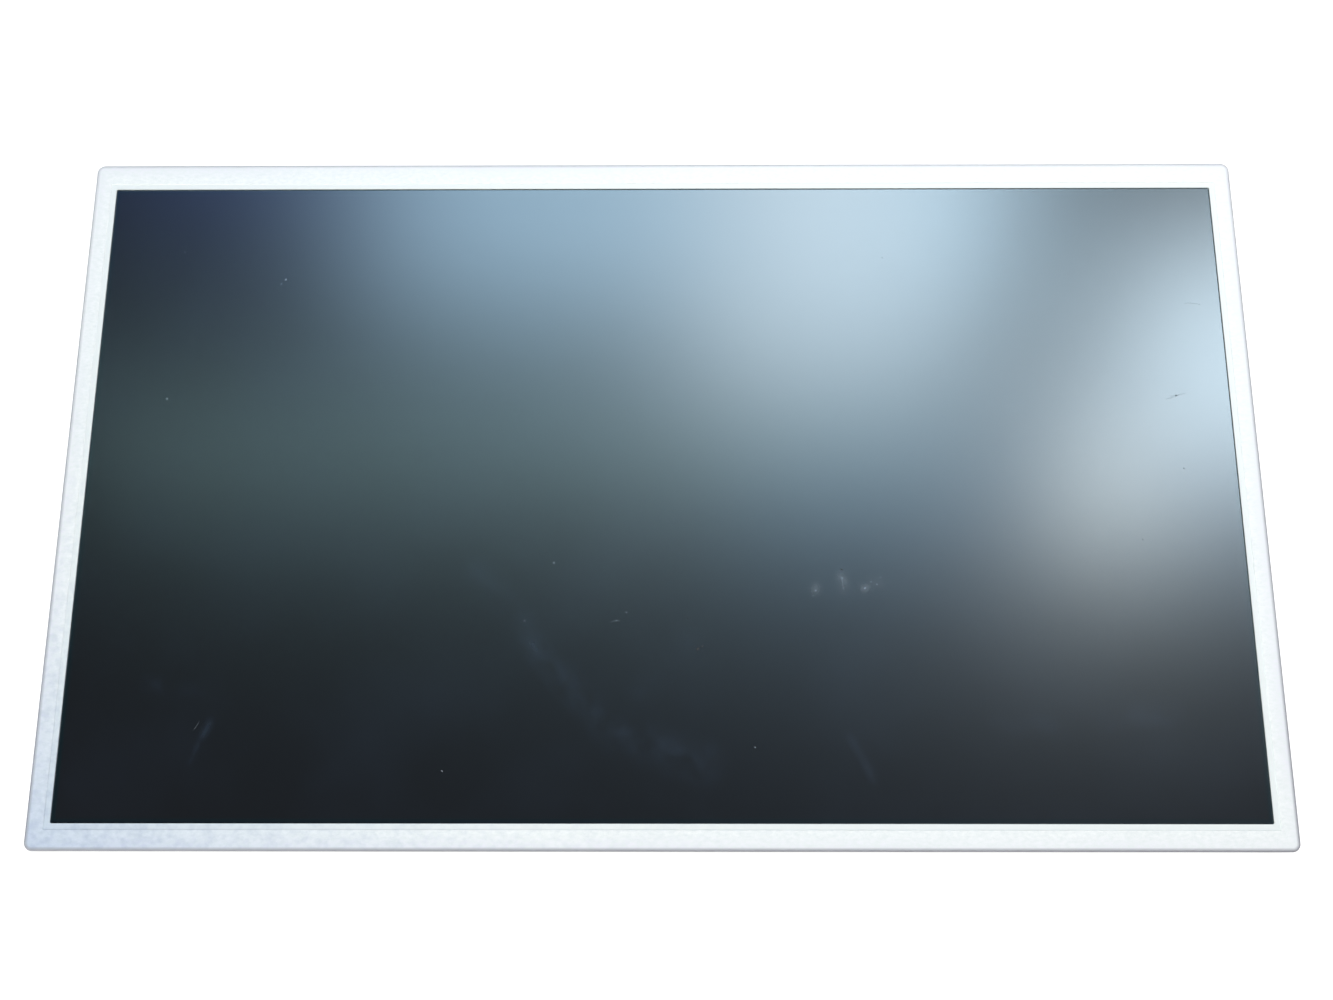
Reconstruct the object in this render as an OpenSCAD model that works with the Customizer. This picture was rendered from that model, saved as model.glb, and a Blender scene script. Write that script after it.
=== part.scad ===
// Flat LCD panel module for a desktop screen, lying on its back with the screen facing up.
// +X is the screen's right, +Y the screen's top, +Z the way the screen faces.
// The origin is the middle of the plane that the module lies on. All sizes are in millimetres.

/* [Outline] */
// Overall width of the module
panel_w = 462.8; // [450:0.1:480]
// Overall height of the module
panel_h = 272.0; // [262:0.1:285]
// Depth behind the back plate that the driver board and its shield take
board_space = 3.05; // [3.05:0.05:3.6]

/* [Front bezel] */
// Thickness of the steel sheet
bezel_t = 0.5; // [0.4:0.05:0.6]
// Bezel face beside the screen, left and right
side_margin = 8.8; // [8.3:0.1:9.8]
// Bezel face above the screen
top_margin = 10.65; // [10.3:0.05:11.8]
// Bezel face below the screen
bottom_margin = 9.85; // [9.6:0.05:11.8]
// Dark border of the screen between the opening and the lit area
border_w = 1.2; // [1:0.05:1.6]
// Radius of the drawn outer corners
corner_r = 3.2; // [2.6:0.1:4]
// Outer radius of the bend from face to wall
bend_r = 0.9; // [0.8:0.05:1.2]
// Width of the coined lip round the screen
lip_w = 2.0; // [1.5:0.1:2.5]
// How far the lip is pressed towards the glass
lip_drop = 0.2; // [0.1:0.05:0.25]

/* [Liquid crystal cell] */
// Thickness of each of the two glass plates
glass_t = 0.7; // [0.5:0.05:0.7]
// Thickness of the front polarizer film
front_film_t = 0.22; // [0.18:0.01:0.25]
// Thickness of the rear polarizer film
rear_film_t = 0.2; // [0.18:0.01:0.22]

/* [Backlight] */
// Thickness of the acrylic light guide
guide_t = 3.0; // [2.6:0.1:3.0]
// Thickness of each optical sheet and of the reflector
sheet_t = 0.2; // [0.15:0.01:0.2]
// Number of light-emitting diodes on the light bar
led_count = 48; // [36:2:54]

/* [Back cover] */
// Thickness of the back cover's sheet
back_t = 0.6; // [0.5:0.05:0.6]
// Height of the stiffening beads
bead_h = 0.9; // [0.6:0.1:1.2]
// Width of a stiffening bead at its crest
bead_w = 7; // [5:0.5:9]
// Distance between the rear bosses across the module
boss_spacing_x = 380; // [360:1:390]
// Distance between the rear bosses up the module
boss_spacing_y = 130; // [120:1:140]
// Distance between the two tapped holes in each side wall
side_hole_spacing = 200; // [190:1:210]

/* [Driver board] */
// Length of the driver board
board_w = 320; // [310:1:330]
// Width of the driver board
board_h = 23.5; // [22:0.5:25]
// Thickness of the driver board
board_t = 1.0; // [0.8:0.1:1.0]
// Number of driver films between the glass and the board
film_count = 6; // [4:2:6]
// Thickness of the shield over the board
shield_t = 0.4; // [0.3:0.05:0.4]

/* [Hidden] */
$fn = 48;
slip = 0.05; // radial gap round a screw's shank
past = 1; // how far a cutting shape runs past the face that it cuts

// Outer faces and the screen opening, as [left, right, bottom, top]
outline = [-panel_w / 2, panel_w / 2, -panel_h / 2, panel_h / 2];
opening = [
  outline[0] + side_margin, outline[1] - side_margin,
  outline[2] + bottom_margin, outline[3] - top_margin
];
opening_corner_r = 0.6;
active = grown(opening, -border_w);

// Levels, from the plane that the module lies on upwards
plate_z = board_space;
floor_z = plate_z + back_t;
guide_z = floor_z + sheet_t;
sheets_z = guide_z + guide_t;
sheets_top_z = sheets_z + 3 * sheet_t;
ledge_z = sheets_top_z + 0.1;
ledge_top_z = ledge_z + 1.0;
cell_z = ledge_top_z + 0.3;
front_glass_z = cell_z + glass_t;
front_film_z = front_glass_z + glass_t;
lip_under_z = front_film_z + front_film_t + 0.15;
bezel_top_z = lip_under_z + lip_drop + bezel_t;

// Back cover: its walls stand inside the bezel's, further in at the top where the driver films pass
cover = [outline[0] + 0.6, outline[1] - 0.6, outline[2] + 0.6, outline[3] - 1.7];
cover_corner_r = corner_r - 0.6;
cover_wall_z = 9.6;
cover_top_wall_z = 8.9;

// Moulded frame, glass and sheets
frame = grown(cover, -0.9);
frame_window = grown(active, 1.46);
side_skirt = 2.4; // frame's skirt beside the light guide
top_skirt = 4.1; // frame's skirt at the top edge
bottom_skirt = 1.0; // frame's skirt in front of the light bar
heat_sink_y = frame[2] + bottom_skirt + 0.2;
guide = [
  frame[0] + side_skirt + 0.6, frame[1] - side_skirt - 0.6,
  heat_sink_y + 2.7, frame[3] - top_skirt - 0.5
];
sheets = [guide[0] + 0.5, guide[1] - 0.5, guide[2] + 1.4, guide[3] - 0.4];
front_plate = grown(active, 4.6);
driver_ledge = 3.0; // bare strip of the rear glass that carries the driver films
rear_plate = [front_plate[0] - 2.2, front_plate[1] + 0.6, front_plate[2], front_plate[3] + driver_ledge];

// Sheet ears and light guide notches, which locate them in the frame
ear_x = [-150, 0, 150];
ear_w = 14;
ear_reach = 2.4;
notch_y = 60;
notch_w = 8;
notch_depth = 1.6;

// Light bar along the bottom edge
heat_sink_t = 0.8;
heat_sink_half_w = 219;
foot_reach = 14;
led_board_t = 0.8;
led_board_y = heat_sink_y + heat_sink_t;
led_board_top_z = floor_z + 3.7;
led_y = led_board_y + led_board_t;
led_size = [7.0, 0.8, 2.2];
cup_depth = 0.45;
led_pitch = (2 * heat_sink_half_w - 8) / led_count;
led_mid_z = guide_z + guide_t / 2;
heat_sink_screw_x = [-180, -90, 0, 90, 180];
heat_sink_screw_y = heat_sink_y + 9;
channel_h = heat_sink_t;

// Tail of the light bar and its connector
tail_x = -200;
tail_w = 12;
tail_t = 0.15;
tail_slot_y = cover[2] + 18;
tail_end_y = tail_slot_y + 19;
led_plug_size = [13, 6, 1.7];
led_pin_count = 6;
led_pin_pitch = 1.25;
led_plug_y = tail_end_y - led_plug_size[1];

// Snap hooks on the frame, windows in the bezel's walls
hook_w = 7.6;
hook_z = plate_z + 1.9;
hook_h = 1.9;
side_hook_y = [-78, 0, 78];
bottom_hook_x = [-180, -90, 0, 90, 180];
top_hook_x = [-180, -112, 0, 112, 180];

// Tapped holes for the maker's brackets, and the rear bosses
m3_tap_r = 1.25;
side_hole_z = plate_z + 3.35;
side_hole_length = 2.5;
side_clearance_r = 1.8;
bead_ring = [-150, 150, -85, 70];
boss_centre_y = -10;
boss_top_r = 5;
boss_base_r = 7;
boss_hole_length = 1.8;

// Bezel tabs that are screwed down behind
tab_x = 200;
tab_w = 12;
tab_reach = 10;
tab_screw_y = frame[3] - 2.1;
bezel_screw_r = 0.8;
bezel_screw_grip = 3.0; // length of the screw inside the frame

// Driver board, on the outside of the back plate along the top edge
board_top_y = frame[3] - 2;
board = [-board_w / 2, board_w / 2, board_top_y - board_h, board_top_y];
insulator_t = 0.2;
board_z = plate_z - insulator_t - board_t; // the board's outer face
film_pitch = 56;
film_w = 30;
film_t = 0.15;
film_bend_r = 1.5;
film_out_y = outline[3] - 1.0;
chip_size = [18, 0.4, 1.3];
chip_mid_z = (plate_z + cell_z) / 2;
timing_chip_at = [40, board[2] + 10];
power_chip_at = [78, board[2] + 9];
memory_chip_at = [-22, board[2] + 12];
power_coil_at = [96, board[2] + 9];
capacitor_x = [-140 : 20 : 140];
capacitor_y = board[2] + 20;

// Board shield
shield = [board[0] - 5, board[1] + 5, board[2] - 4, outline[3] - 0.6];
shield_corner_r = 2.5;
shield_bend_r = 0.8;
dimple_r = 4.2;
dimple_x = [-board_w / 2 + 8, 8, board_w / 2 - 8];
dimple_y = board[2] + 7;
shield_screw_r = 1.0;
vent_r = 1;
vent_run = 5;
vent_x = [for (x = [24 : 12 : 132]) x];
vent_y = board[3] - 5;

// Signal connector at the board's lower edge
plug_x = -70;
plug_size = [38, 5, 1.5];
contact_count = 30;
contact_pitch = 1.0;
plug_y = board[2] + 0.6;

// A limit list moved outwards by d on every side
function grown(limits, d) = [limits[0] - d, limits[1] + d, limits[2] - d, limits[3] + d];
function width(limits) = limits[1] - limits[0];
function height(limits) = limits[3] - limits[2];
function middle(limits) = [(limits[0] + limits[1]) / 2, (limits[2] + limits[3]) / 2];

// Places along a line, count of them at one pitch, centred on zero
function spread(count, pitch) = [for (i = [0 : count - 1]) (i - (count - 1) / 2) * pitch];

// Flat slab over a limit list, between two levels
module slab(limits, z_low, z_high) {
  translate([limits[0], limits[2], z_low])
    cube([width(limits), height(limits), z_high - z_low]);
}

// Flat slab with round corners
module round_slab(limits, r, z_low, z_high) {
  inner = grown(limits, -r);
  translate([0, 0, z_low])
    linear_extrude(z_high - z_low) {
      translate([limits[0], inner[2]]) square([width(limits), height(inner)]);
      translate([inner[0], limits[2]]) square([width(inner), height(limits)]);
      for (x = [inner[0], inner[1]], y = [inner[2], inner[3]])
        translate([x, y]) circle(r);
    }
}

// Block with sloping sides: limits at z_low, and grown by flare on every side at z_high
module tapered_block(limits, z_low, z_high, flare) {
  rise = z_high - z_low;
  centre = middle(limits);
  translate([centre[0], centre[1], z_low])
    intersection() {
      rotate([90, 0, 0])
        linear_extrude(height(limits) + 2 * abs(flare) + 2, center = true)
          trapezium(width(limits) / 2, rise, flare);
      rotate([90, 0, 90])
        linear_extrude(width(limits) + 2 * abs(flare) + 2, center = true)
          trapezium(height(limits) / 2, rise, flare);
    }
}

module trapezium(half_w, rise, flare) {
  polygon([[-half_w, 0], [half_w, 0], [half_w + flare, rise], [-half_w - flare, rise]]);
}

// Section of a drawn edge: flat face at the top, a rounded bend and a wall hanging down.
// Zero on the section's first axis is the centre of the corner's radius.
module edge_section(reach, bend, depth, t) {
  difference() {
    edge_outline(reach, bend, depth);
    translate([-past, -t]) edge_outline(reach - t + past, bend - t, depth);
    translate([-2 * past, -depth - past]) square([2 * past, 2 * depth]);
  }
}

module edge_outline(reach, bend, depth) {
  translate([0, -depth]) square([reach, depth - bend]);
  translate([0, -depth]) square([reach - bend, depth]);
  translate([reach - bend, -bend]) circle(bend);
}

// Sheet drawn into a shallow tray. Its face is at z = 0 and its walls hang down by depth.
module drawn_tray(w, h, depth, r, bend, t) {
  for (turn = [0, 180])
    rotate([0, 0, turn]) {
      translate([w / 2 - r, 0, 0]) rotate([90, 0, 0])
        linear_extrude(h - 2 * r, center = true) edge_section(r, bend, depth, t);
      rotate([0, 0, 90]) translate([h / 2 - r, 0, 0]) rotate([90, 0, 0])
        linear_extrude(w - 2 * r, center = true) edge_section(r, bend, depth, t);
      translate([w / 2 - r, h / 2 - r, 0])
        rotate_extrude(angle = 90) edge_section(r, bend, depth, t);
      translate([-w / 2 + r, h / 2 - r, 0]) rotate([0, 0, 90])
        rotate_extrude(angle = 90) edge_section(r, bend, depth, t);
    }
  translate([0, 0, -t / 2]) cube([w - 2 * r, h - 2 * r, t], center = true);
}

// Puts a child, drawn pointing along +X from x = 0, on each edge of a limit list.
// along gives the places on the left and right edges, the bottom edge and the top edge.
module on_edges(limits, along_sides, along_bottom, along_top) {
  for (y = along_sides) {
    translate([limits[1], y, 0]) children();
    translate([limits[0], y, 0]) mirror([1, 0, 0]) children();
  }
  for (x = along_bottom)
    translate([x, limits[2], 0]) rotate([0, 0, -90]) children();
  for (x = along_top)
    translate([x, limits[3], 0]) rotate([0, 0, 90]) children();
}

// Small screw, its head's seat at z = 0, its shank pointing along +Z
module small_screw(head_r, head_h, shank_r, shank_length) {
  dome_r = head_r * 2.2;
  slot_w = head_r * 0.28;
  difference() {
    union() {
      cylinder(r = shank_r, h = shank_length);
      intersection() {
        translate([0, 0, -head_h]) cylinder(r = head_r, h = head_h);
        translate([0, 0, dome_r - head_h]) sphere(dome_r);
      }
    }
    for (turn = [0, 90])
      rotate([0, 0, turn])
        translate([-head_r * 0.55, -slot_w / 2, -head_h - past])
          cube([head_r * 1.1, slot_w, past + head_h * 0.55]);
  }
}

module front_bezel() {
  wall_depth = bezel_top_z - plate_z;
  coin = 0.3; // run of the slope down to the lip
  lip = grown(opening, lip_w);
  color("gainsboro")
    difference() {
      union() {
        translate([0, 0, bezel_top_z])
          drawn_tray(panel_w, panel_h, wall_depth, corner_r, bend_r, bezel_t);
        tapered_block(lip, lip_under_z, bezel_top_z - bezel_t / 2, coin);
        for (side = [-1, 1])
          translate([side * tab_x, 0, 0]) bezel_tab();
      }
      tapered_block(lip, bezel_top_z - lip_drop, bezel_top_z + past, coin * (lip_drop + past) / lip_drop);
      round_slab(opening, opening_corner_r, lip_under_z - past, bezel_top_z + past);
      on_edges(outline, side_hook_y, bottom_hook_x, top_hook_x) bezel_window();
      for (side = [-1, 1], end = [-1, 1])
        translate([side * panel_w / 2, end * side_hole_spacing / 2, side_hole_z])
          rotate([0, 90, 0]) cylinder(r = side_clearance_r, h = 4 * bezel_t, center = true);
      for (side = [-1, 1])
        translate([side * tab_x, tab_screw_y, plate_z - 2 * bezel_t])
          cylinder(r = shield_screw_r + 0.2, h = 3 * bezel_t);
    }
}

// Wall strip that runs on downwards and folds in over the back plate
module bezel_tab() {
  inner_r = bend_r - bezel_t;
  fold_y = outline[3] - bend_r;
  fold_z = plate_z - bezel_t + bend_r;
  rotate([90, 0, 90])
    linear_extrude(tab_w, center = true) {
      translate([outline[3] - bezel_t, fold_z]) square([bezel_t, plate_z + 2 - fold_z]);
      translate([outline[3] - tab_reach, plate_z - bezel_t]) square([tab_reach - bend_r, bezel_t]);
      difference() {
        translate([fold_y, fold_z]) circle(bend_r);
        translate([fold_y, fold_z]) circle(inner_r);
        translate([fold_y - 2 * bend_r, fold_z - 2 * bend_r]) square([2 * bend_r, 4 * bend_r]);
        translate([fold_y - past, fold_z]) square([2 * bend_r + past, 2 * bend_r]);
      }
    }
}

module bezel_window() {
  translate([-bezel_t - 0.3, -hook_w / 2 - 0.7, hook_z - 0.2])
    cube([bezel_t + 0.3 + past, hook_w + 1.4, hook_h + 0.4]);
}

module front_polarizer() {
  color("darkslategray")
    slab(grown(active, 3.8), front_film_z, front_film_z + front_film_t);
}

module front_glass() {
  color("lightcyan") slab(front_plate, front_glass_z, front_film_z);
}

module rear_glass() {
  color("paleturquoise") slab(rear_plate, cell_z, front_glass_z);
}

module rear_polarizer() {
  color("dimgray") slab(grown(frame_window, -0.2), cell_z - rear_film_t, cell_z);
}

module cushion_tape() {
  color("black")
    difference() {
      slab(grown(rear_plate, -0.4), ledge_top_z, cell_z);
      slab(grown(frame_window, 0.1), ledge_top_z - past, cell_z + past);
    }
}

module panel_frame() {
  frame_top_z = bezel_top_z - bezel_t;
  pocket = grown(rear_plate, 0.4);
  film_gap = film_w + 2;
  key_half_w = notch_w / 2 - 0.3;
  color("whitesmoke")
    difference() {
      union() {
        difference() {
          round_slab(frame, 1.6, floor_z, frame_top_z);
          slab(pocket, ledge_top_z, frame_top_z + past);
          slab(frame_window, floor_z - past, frame_top_z);
          slab([guide[0] - 0.6, guide[1] + 0.6, frame[2] + bottom_skirt, guide[3] + 0.5],
            floor_z - past, ledge_z);
        }
        on_edges(frame, side_hook_y, bottom_hook_x, []) snap_hook(1.3);
        on_edges(frame, [], [], top_hook_x) snap_hook(2.4);
        // Keys that stand in the light guide's notches
        for (side = [-1, 1])
          translate([side * (guide[1] + 0.8), notch_y, floor_z])
            translate([-notch_depth - 0.5, -key_half_w, 0])
              cube([2 * notch_depth + 1, 2 * key_half_w, sheets_z - 0.05 - floor_z]);
      }
      for (x = spread(film_count, film_pitch))
        slab([x - film_gap / 2, x + film_gap / 2, rear_plate[3], frame[3] + past],
          ledge_top_z, frame_top_z + past);
      for (x = ear_x)
        translate([x - ear_w / 2 - 0.5, guide[3], sheets_z - 0.1])
          cube([ear_w + 1, ear_reach + 0.4, ledge_z - sheets_z + 0.1]);
      for (side = [-1, 1], end = [-1, 1])
        translate([side * (frame[1] + past), end * side_hole_spacing / 2, side_hole_z])
          rotate([0, -90 * side, 0])
            cylinder(r = m3_tap_r + 1.05, h = side_skirt + past + 0.1);
      for (side = [-1, 1])
        translate([side * tab_x, tab_screw_y, floor_z - past])
          cylinder(r = bezel_screw_r + slip, h = bezel_screw_grip + past);
    }
}

// Wedge that the bezel's wall rides over, with a flat underside that catches in the window
module snap_hook(reach) {
  rotate([90, 0, 0])
    linear_extrude(hook_w, center = true)
      polygon([
        [-0.8, hook_z], [reach, hook_z], [reach, hook_z + 0.4],
        [0, hook_z + hook_h], [-0.8, hook_z + hook_h]
      ]);
}

// One optical sheet with the ears that hang it in the frame
module optical_sheet(z_low) {
  slab(sheets, z_low, z_low + sheet_t);
  for (x = ear_x)
    translate([x - ear_w / 2, sheets[3] - past, z_low])
      cube([ear_w, past + ear_reach, sheet_t]);
}

module lower_diffuser() {
  color("white") optical_sheet(sheets_z);
}

module prism_sheet() {
  color("aliceblue") optical_sheet(sheets_z + sheet_t);
}

module upper_diffuser() {
  color("ghostwhite") optical_sheet(sheets_z + 2 * sheet_t);
}

module light_guide() {
  color("azure")
    difference() {
      slab(guide, guide_z, sheets_z);
      for (side = [-1, 1])
        translate([side * guide[1], notch_y, guide_z + guide_t / 2])
          cube([2 * notch_depth, notch_w, guide_t + 2], center = true);
    }
}

// Soft blocks that hold the guide clear of the frame
module light_guide_pads() {
  color("darkgray") {
    for (x = [-120, 120])
      slab([x - 10, x + 10, guide[3], guide[3] + 0.5], guide_z, sheets_z);
    for (side = [-1, 1], y = [-60, 20])
      translate([side * (guide[1] + 0.3), y, guide_z + guide_t / 2])
        cube([0.6, 16, guide_t], center = true);
  }
}

module reflector_sheet() {
  color("white")
    difference() {
      slab(grown(guide, -0.1), floor_z, guide_z);
      for (side = [-1, 1])
        translate([side * guide[1], notch_y, floor_z])
          cube([2 * notch_depth, notch_w, 4 * sheet_t], center = true);
      slab([tail_x - tail_w / 2 - 1, tail_x + tail_w / 2 + 1, guide[2] - past, tail_slot_y + 3],
        floor_z - past, guide_z + past);
    }
}

module led_board() {
  color("white")
    slab([-heat_sink_half_w, heat_sink_half_w, led_board_y, led_y], floor_z, led_board_top_z);
}

// White package with a tapered reflector cup
module led_package() {
  difference() {
    translate([-led_size[0] / 2, 0, -led_size[2] / 2]) cube(led_size);
    led_cup(cup_depth + past);
  }
}

// Space inside the cup up to a depth of fill, measured from its floor
module led_cup(fill) {
  half_w = led_size[0] / 2 - 1.0;
  half_h = led_size[2] / 2 - 0.5;
  flare = 0.6;
  translate([0, led_size[1] - cup_depth, 0])
    rotate([-90, 0, 0])
      tapered_block([-half_w, half_w, -half_h, half_h], 0, fill, flare * fill);
}

module along_light_bar() {
  for (x = spread(led_count, led_pitch))
    translate([x, led_y, led_mid_z]) children();
}

module led_bodies() {
  color("whitesmoke") along_light_bar() led_package();
}

module led_phosphor() {
  color("gold") along_light_bar() led_cup(cup_depth - 0.05);
}

module led_heat_sink() {
  upright_top_z = led_board_top_z;
  color("silver")
    difference() {
      union() {
        slab([-heat_sink_half_w, heat_sink_half_w, heat_sink_y, led_board_y],
          floor_z - channel_h, upright_top_z);
        slab([-heat_sink_half_w, heat_sink_half_w, heat_sink_y, heat_sink_y + foot_reach],
          floor_z - channel_h, floor_z);
      }
      for (x = heat_sink_screw_x)
        translate([x, heat_sink_screw_y, plate_z - past])
          cylinder(r = shield_screw_r + slip, h = back_t + 2 * past);
    }
}

module heat_sink_screws() {
  color("lightgray")
    for (x = heat_sink_screw_x)
      translate([x, heat_sink_screw_y, plate_z - channel_h])
        small_screw(2.1, 0.7, shield_screw_r, back_t + heat_sink_t);
}

// Flat flex: along the floor, out through the slot in the plate and along its outer face
module led_flex_tail() {
  bend = 0.3;
  inside = [led_y, tail_slot_y];
  color("darkgoldenrod")
    translate([tail_x, 0, 0])
      rotate([90, 0, 90])
        linear_extrude(tail_w, center = true) {
          translate([inside[0], floor_z]) square([inside[1] - inside[0] - bend, tail_t]);
          translate([tail_slot_y - tail_t, plate_z - tail_t + bend])
            square([tail_t, floor_z - plate_z + 2 * tail_t - 2 * bend]);
          translate([tail_slot_y - tail_t + bend, plate_z - tail_t])
            square([tail_end_y - tail_slot_y + tail_t - bend, tail_t]);
          intersection() {
            translate([tail_slot_y - bend, floor_z + tail_t - bend]) ring(bend - tail_t, bend);
            translate([tail_slot_y - bend, floor_z + tail_t - bend]) square(2 * bend);
          }
          intersection() {
            translate([tail_slot_y - tail_t + bend, plate_z - tail_t + bend]) ring(bend - tail_t, bend);
            translate([tail_slot_y - tail_t - bend, plate_z - tail_t - bend]) square(2 * bend);
          }
        }
}

module ring(r_in, r_out) {
  difference() {
    circle(r_out);
    circle(r_in);
  }
}

// Side-entry header on the end of the tail, open towards +Y
module led_connector() {
  mouth = [led_plug_size[0] - 1.4, led_plug_size[1] - 1.2, led_plug_size[2] - 0.7];
  color("ivory")
    translate([tail_x, led_plug_y, plate_z - tail_t - led_plug_size[2]])
      difference() {
        translate([-led_plug_size[0] / 2, 0, 0]) cube(led_plug_size);
        translate([-mouth[0] / 2, led_plug_size[1] - mouth[1], 0.35])
          cube([mouth[0], mouth[1] + past, mouth[2]]);
        for (side = [-1, 1])
          translate([side * (led_plug_size[0] / 2 - 2.2) - 0.8, led_plug_size[1] - 2, -past])
            cube([1.6, 2 + past, past + 0.5]);
      }
}

module led_connector_pins() {
  pin = [0.4, led_plug_size[1] - 1.4, 0.3];
  color("gold")
    for (x = spread(led_pin_count, led_pin_pitch))
      translate([tail_x + x - pin[0] / 2, led_plug_y + 1.2, plate_z - tail_t - led_plug_size[2] / 2])
        cube(pin);
}

// Tape over the tail, stuck to the plate at both ends
module flex_tape() {
  t = 0.1;
  half_tail = tail_w / 2 + 0.2;
  half_tape = half_tail + 5;
  slope = 0.6;
  low = plate_z - t;
  over = plate_z - tail_t - t;
  color("black")
    translate([tail_x, tail_slot_y + 3, 0])
      mirror([0, 1, 0]) rotate([90, 0, 0])
        linear_extrude(6)
          polygon([
            [-half_tape, low], [-half_tail - slope, low], [-half_tail, over],
            [half_tail, over], [half_tail + slope, low], [half_tape, low],
            [half_tape, plate_z], [half_tail + slope, plate_z], [half_tail, over + t],
            [-half_tail, over + t], [-half_tail - slope, plate_z], [-half_tape, plate_z]
          ]);
}

// Beads of the back plate: a rectangle and its diagonals. shift is 0 for their outer form, and
// the sheet's thickness for the hollow behind them, so that the sheet keeps its thickness.
module stiffening_beads(shift) {
  corners = [for (x = [0, 1], y = [2, 3]) [bead_ring[x], bead_ring[y]]];
  for (ends = [[0, 1], [2, 3], [0, 2], [1, 3], [0, 3], [1, 2]])
    bead(corners[ends[0]], corners[ends[1]], shift);
}

// Straight bead with sloping sides and round ends
module bead(from, to, shift) {
  run = to - from;
  crest_half_w = bead_w / 2 - shift / 3;
  base_half_w = crest_half_w + bead_h;
  translate([from[0], from[1], plate_z - bead_h + shift])
    rotate([0, 0, atan2(run[1], run[0])]) {
      rotate([90, 0, 90])
        linear_extrude(norm(run)) trapezium(crest_half_w, bead_h, bead_h);
      for (x = [0, norm(run)])
        translate([x, 0, 0]) cylinder(r1 = crest_half_w, r2 = base_half_w, h = bead_h);
    }
}

// Channel pressed outwards along the light bar, for the heat sink's foot
module heat_sink_channel(shift) {
  wall = shift > 0 ? 0 : 0.35;
  foot = [
    -heat_sink_half_w - 0.3, heat_sink_half_w + 0.3,
    heat_sink_y - 0.1, heat_sink_y + foot_reach + 0.3
  ];
  tapered_block(grown(foot, wall), plate_z - channel_h + shift, plate_z + shift, 0.4);
}

module at_bosses() {
  for (x = [-1, 1], y = [-1, 1])
    translate([x * boss_spacing_x / 2, boss_centre_y + y * boss_spacing_y / 2, 0]) children();
}

// Rear boss, pressed out to the plane that the module lies on
module boss_form(shift) {
  narrow = shift * 0.8;
  translate([0, 0, shift])
    cylinder(r1 = boss_top_r - narrow, r2 = boss_base_r - narrow, h = plate_z);
}

module back_cover() {
  centre = middle(cover);
  color("lightgray")
    difference() {
      union() {
        difference() {
          union() {
            translate([centre[0], centre[1], plate_z])
              mirror([0, 0, 1])
                drawn_tray(width(cover), height(cover), cover_wall_z - plate_z,
                  cover_corner_r, bend_r, back_t);
            stiffening_beads(0);
            heat_sink_channel(0);
            at_bosses() boss_form(0);
          }
          stiffening_beads(back_t);
          heat_sink_channel(back_t);
          at_bosses() boss_form(back_t);
        }
        at_bosses() cylinder(r = m3_tap_r + 0.7, h = boss_hole_length);
        side_holes(m3_tap_r + 0.75, side_hole_length, 0);
      }
      at_bosses() translate([0, 0, -past]) cylinder(r = m3_tap_r, h = boss_hole_length + 2 * past);
      side_holes(m3_tap_r, side_hole_length + 2 * past, past);
      slab([cover[0] + 4, cover[1] - 4, cover[3] - 2 * back_t, cover[3] + past],
        cover_top_wall_z, cover_wall_z + past);
      on_edges(cover, side_hook_y, bottom_hook_x, top_hook_x) cover_notch();
      for (x = heat_sink_screw_x)
        translate([x, heat_sink_screw_y, 0])
          cylinder(r = shield_screw_r + slip, h = floor_z + past);
      at_dimples() cylinder(r = shield_screw_r + slip, h = floor_z + past);
      for (side = [-1, 1])
        translate([side * tab_x, tab_screw_y, 0]) cylinder(r = shield_screw_r + 0.2, h = floor_z + past);
      translate([tail_x - tail_w / 2 - 1, tail_slot_y - 1, 0]) cube([tail_w + 2, 2, floor_z + past]);
      for (side = [-1, 1])
        translate([side * 210, 90, 0]) cylinder(r = 2, h = floor_z + past);
    }
}

// Plain round shapes at the four places in the side walls, from the wall's outer face inwards
module side_holes(r, length, proud) {
  for (side = [-1, 1], end = [-1, 1])
    translate([side * (cover[1] + proud), end * side_hole_spacing / 2, side_hole_z])
      rotate([0, -90 * side, 0]) cylinder(r = r, h = length);
}

module cover_notch() {
  translate([-back_t - 0.3, -hook_w / 2 - 1, hook_z - 0.4])
    cube([back_t + 0.3 + past, hook_w + 2, cover_wall_z]);
}

module board_insulator() {
  color("black")
    difference() {
      slab([board[0] - 3, board[1] + 3, board[2] - 2, board[3] + 1], plate_z - insulator_t, plate_z);
      at_dimples() cylinder(r = shield_screw_r + 0.3, h = plate_z + past);
    }
}

module driver_board() {
  color("darkgreen")
    difference() {
      round_slab(board, 1.5, board_z, board_z + board_t);
      at_dimples() cylinder(r = shield_screw_r + 0.2, h = plate_z + past);
    }
}

// Film from the glass, over the frame's top edge and round to the board
module driver_film(index) {
  x = spread(film_count, film_pitch)[index - 1];
  color("peru")
    translate([x, 0, 0])
      rotate([90, 0, 90])
        linear_extrude(film_w, center = true)
          difference() {
            film_outline(0);
            film_outline(film_t);
          }
}

module film_outline(inset) {
  low_z = board_z - film_t + inset;
  high_z = front_glass_z + film_t - inset;
  bend = film_bend_r - inset;
  bend_y = film_out_y - film_bend_r;
  start_y = rear_plate[3] - 1.8 - inset;
  translate([start_y, low_z]) square([bend_y - start_y, high_z - low_z]);
  translate([bend_y - 0.1, low_z + bend]) square([bend + 0.1, high_z - low_z - 2 * bend]);
  translate([bend_y, low_z + bend]) circle(bend);
  translate([bend_y, high_z - bend]) circle(bend);
}

module driver_chips() {
  color("dimgray")
    for (x = spread(film_count, film_pitch))
      translate([x - chip_size[0] / 2, film_out_y - film_t - chip_size[1], chip_mid_z - chip_size[2] / 2])
        cube(chip_size);
}

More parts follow.
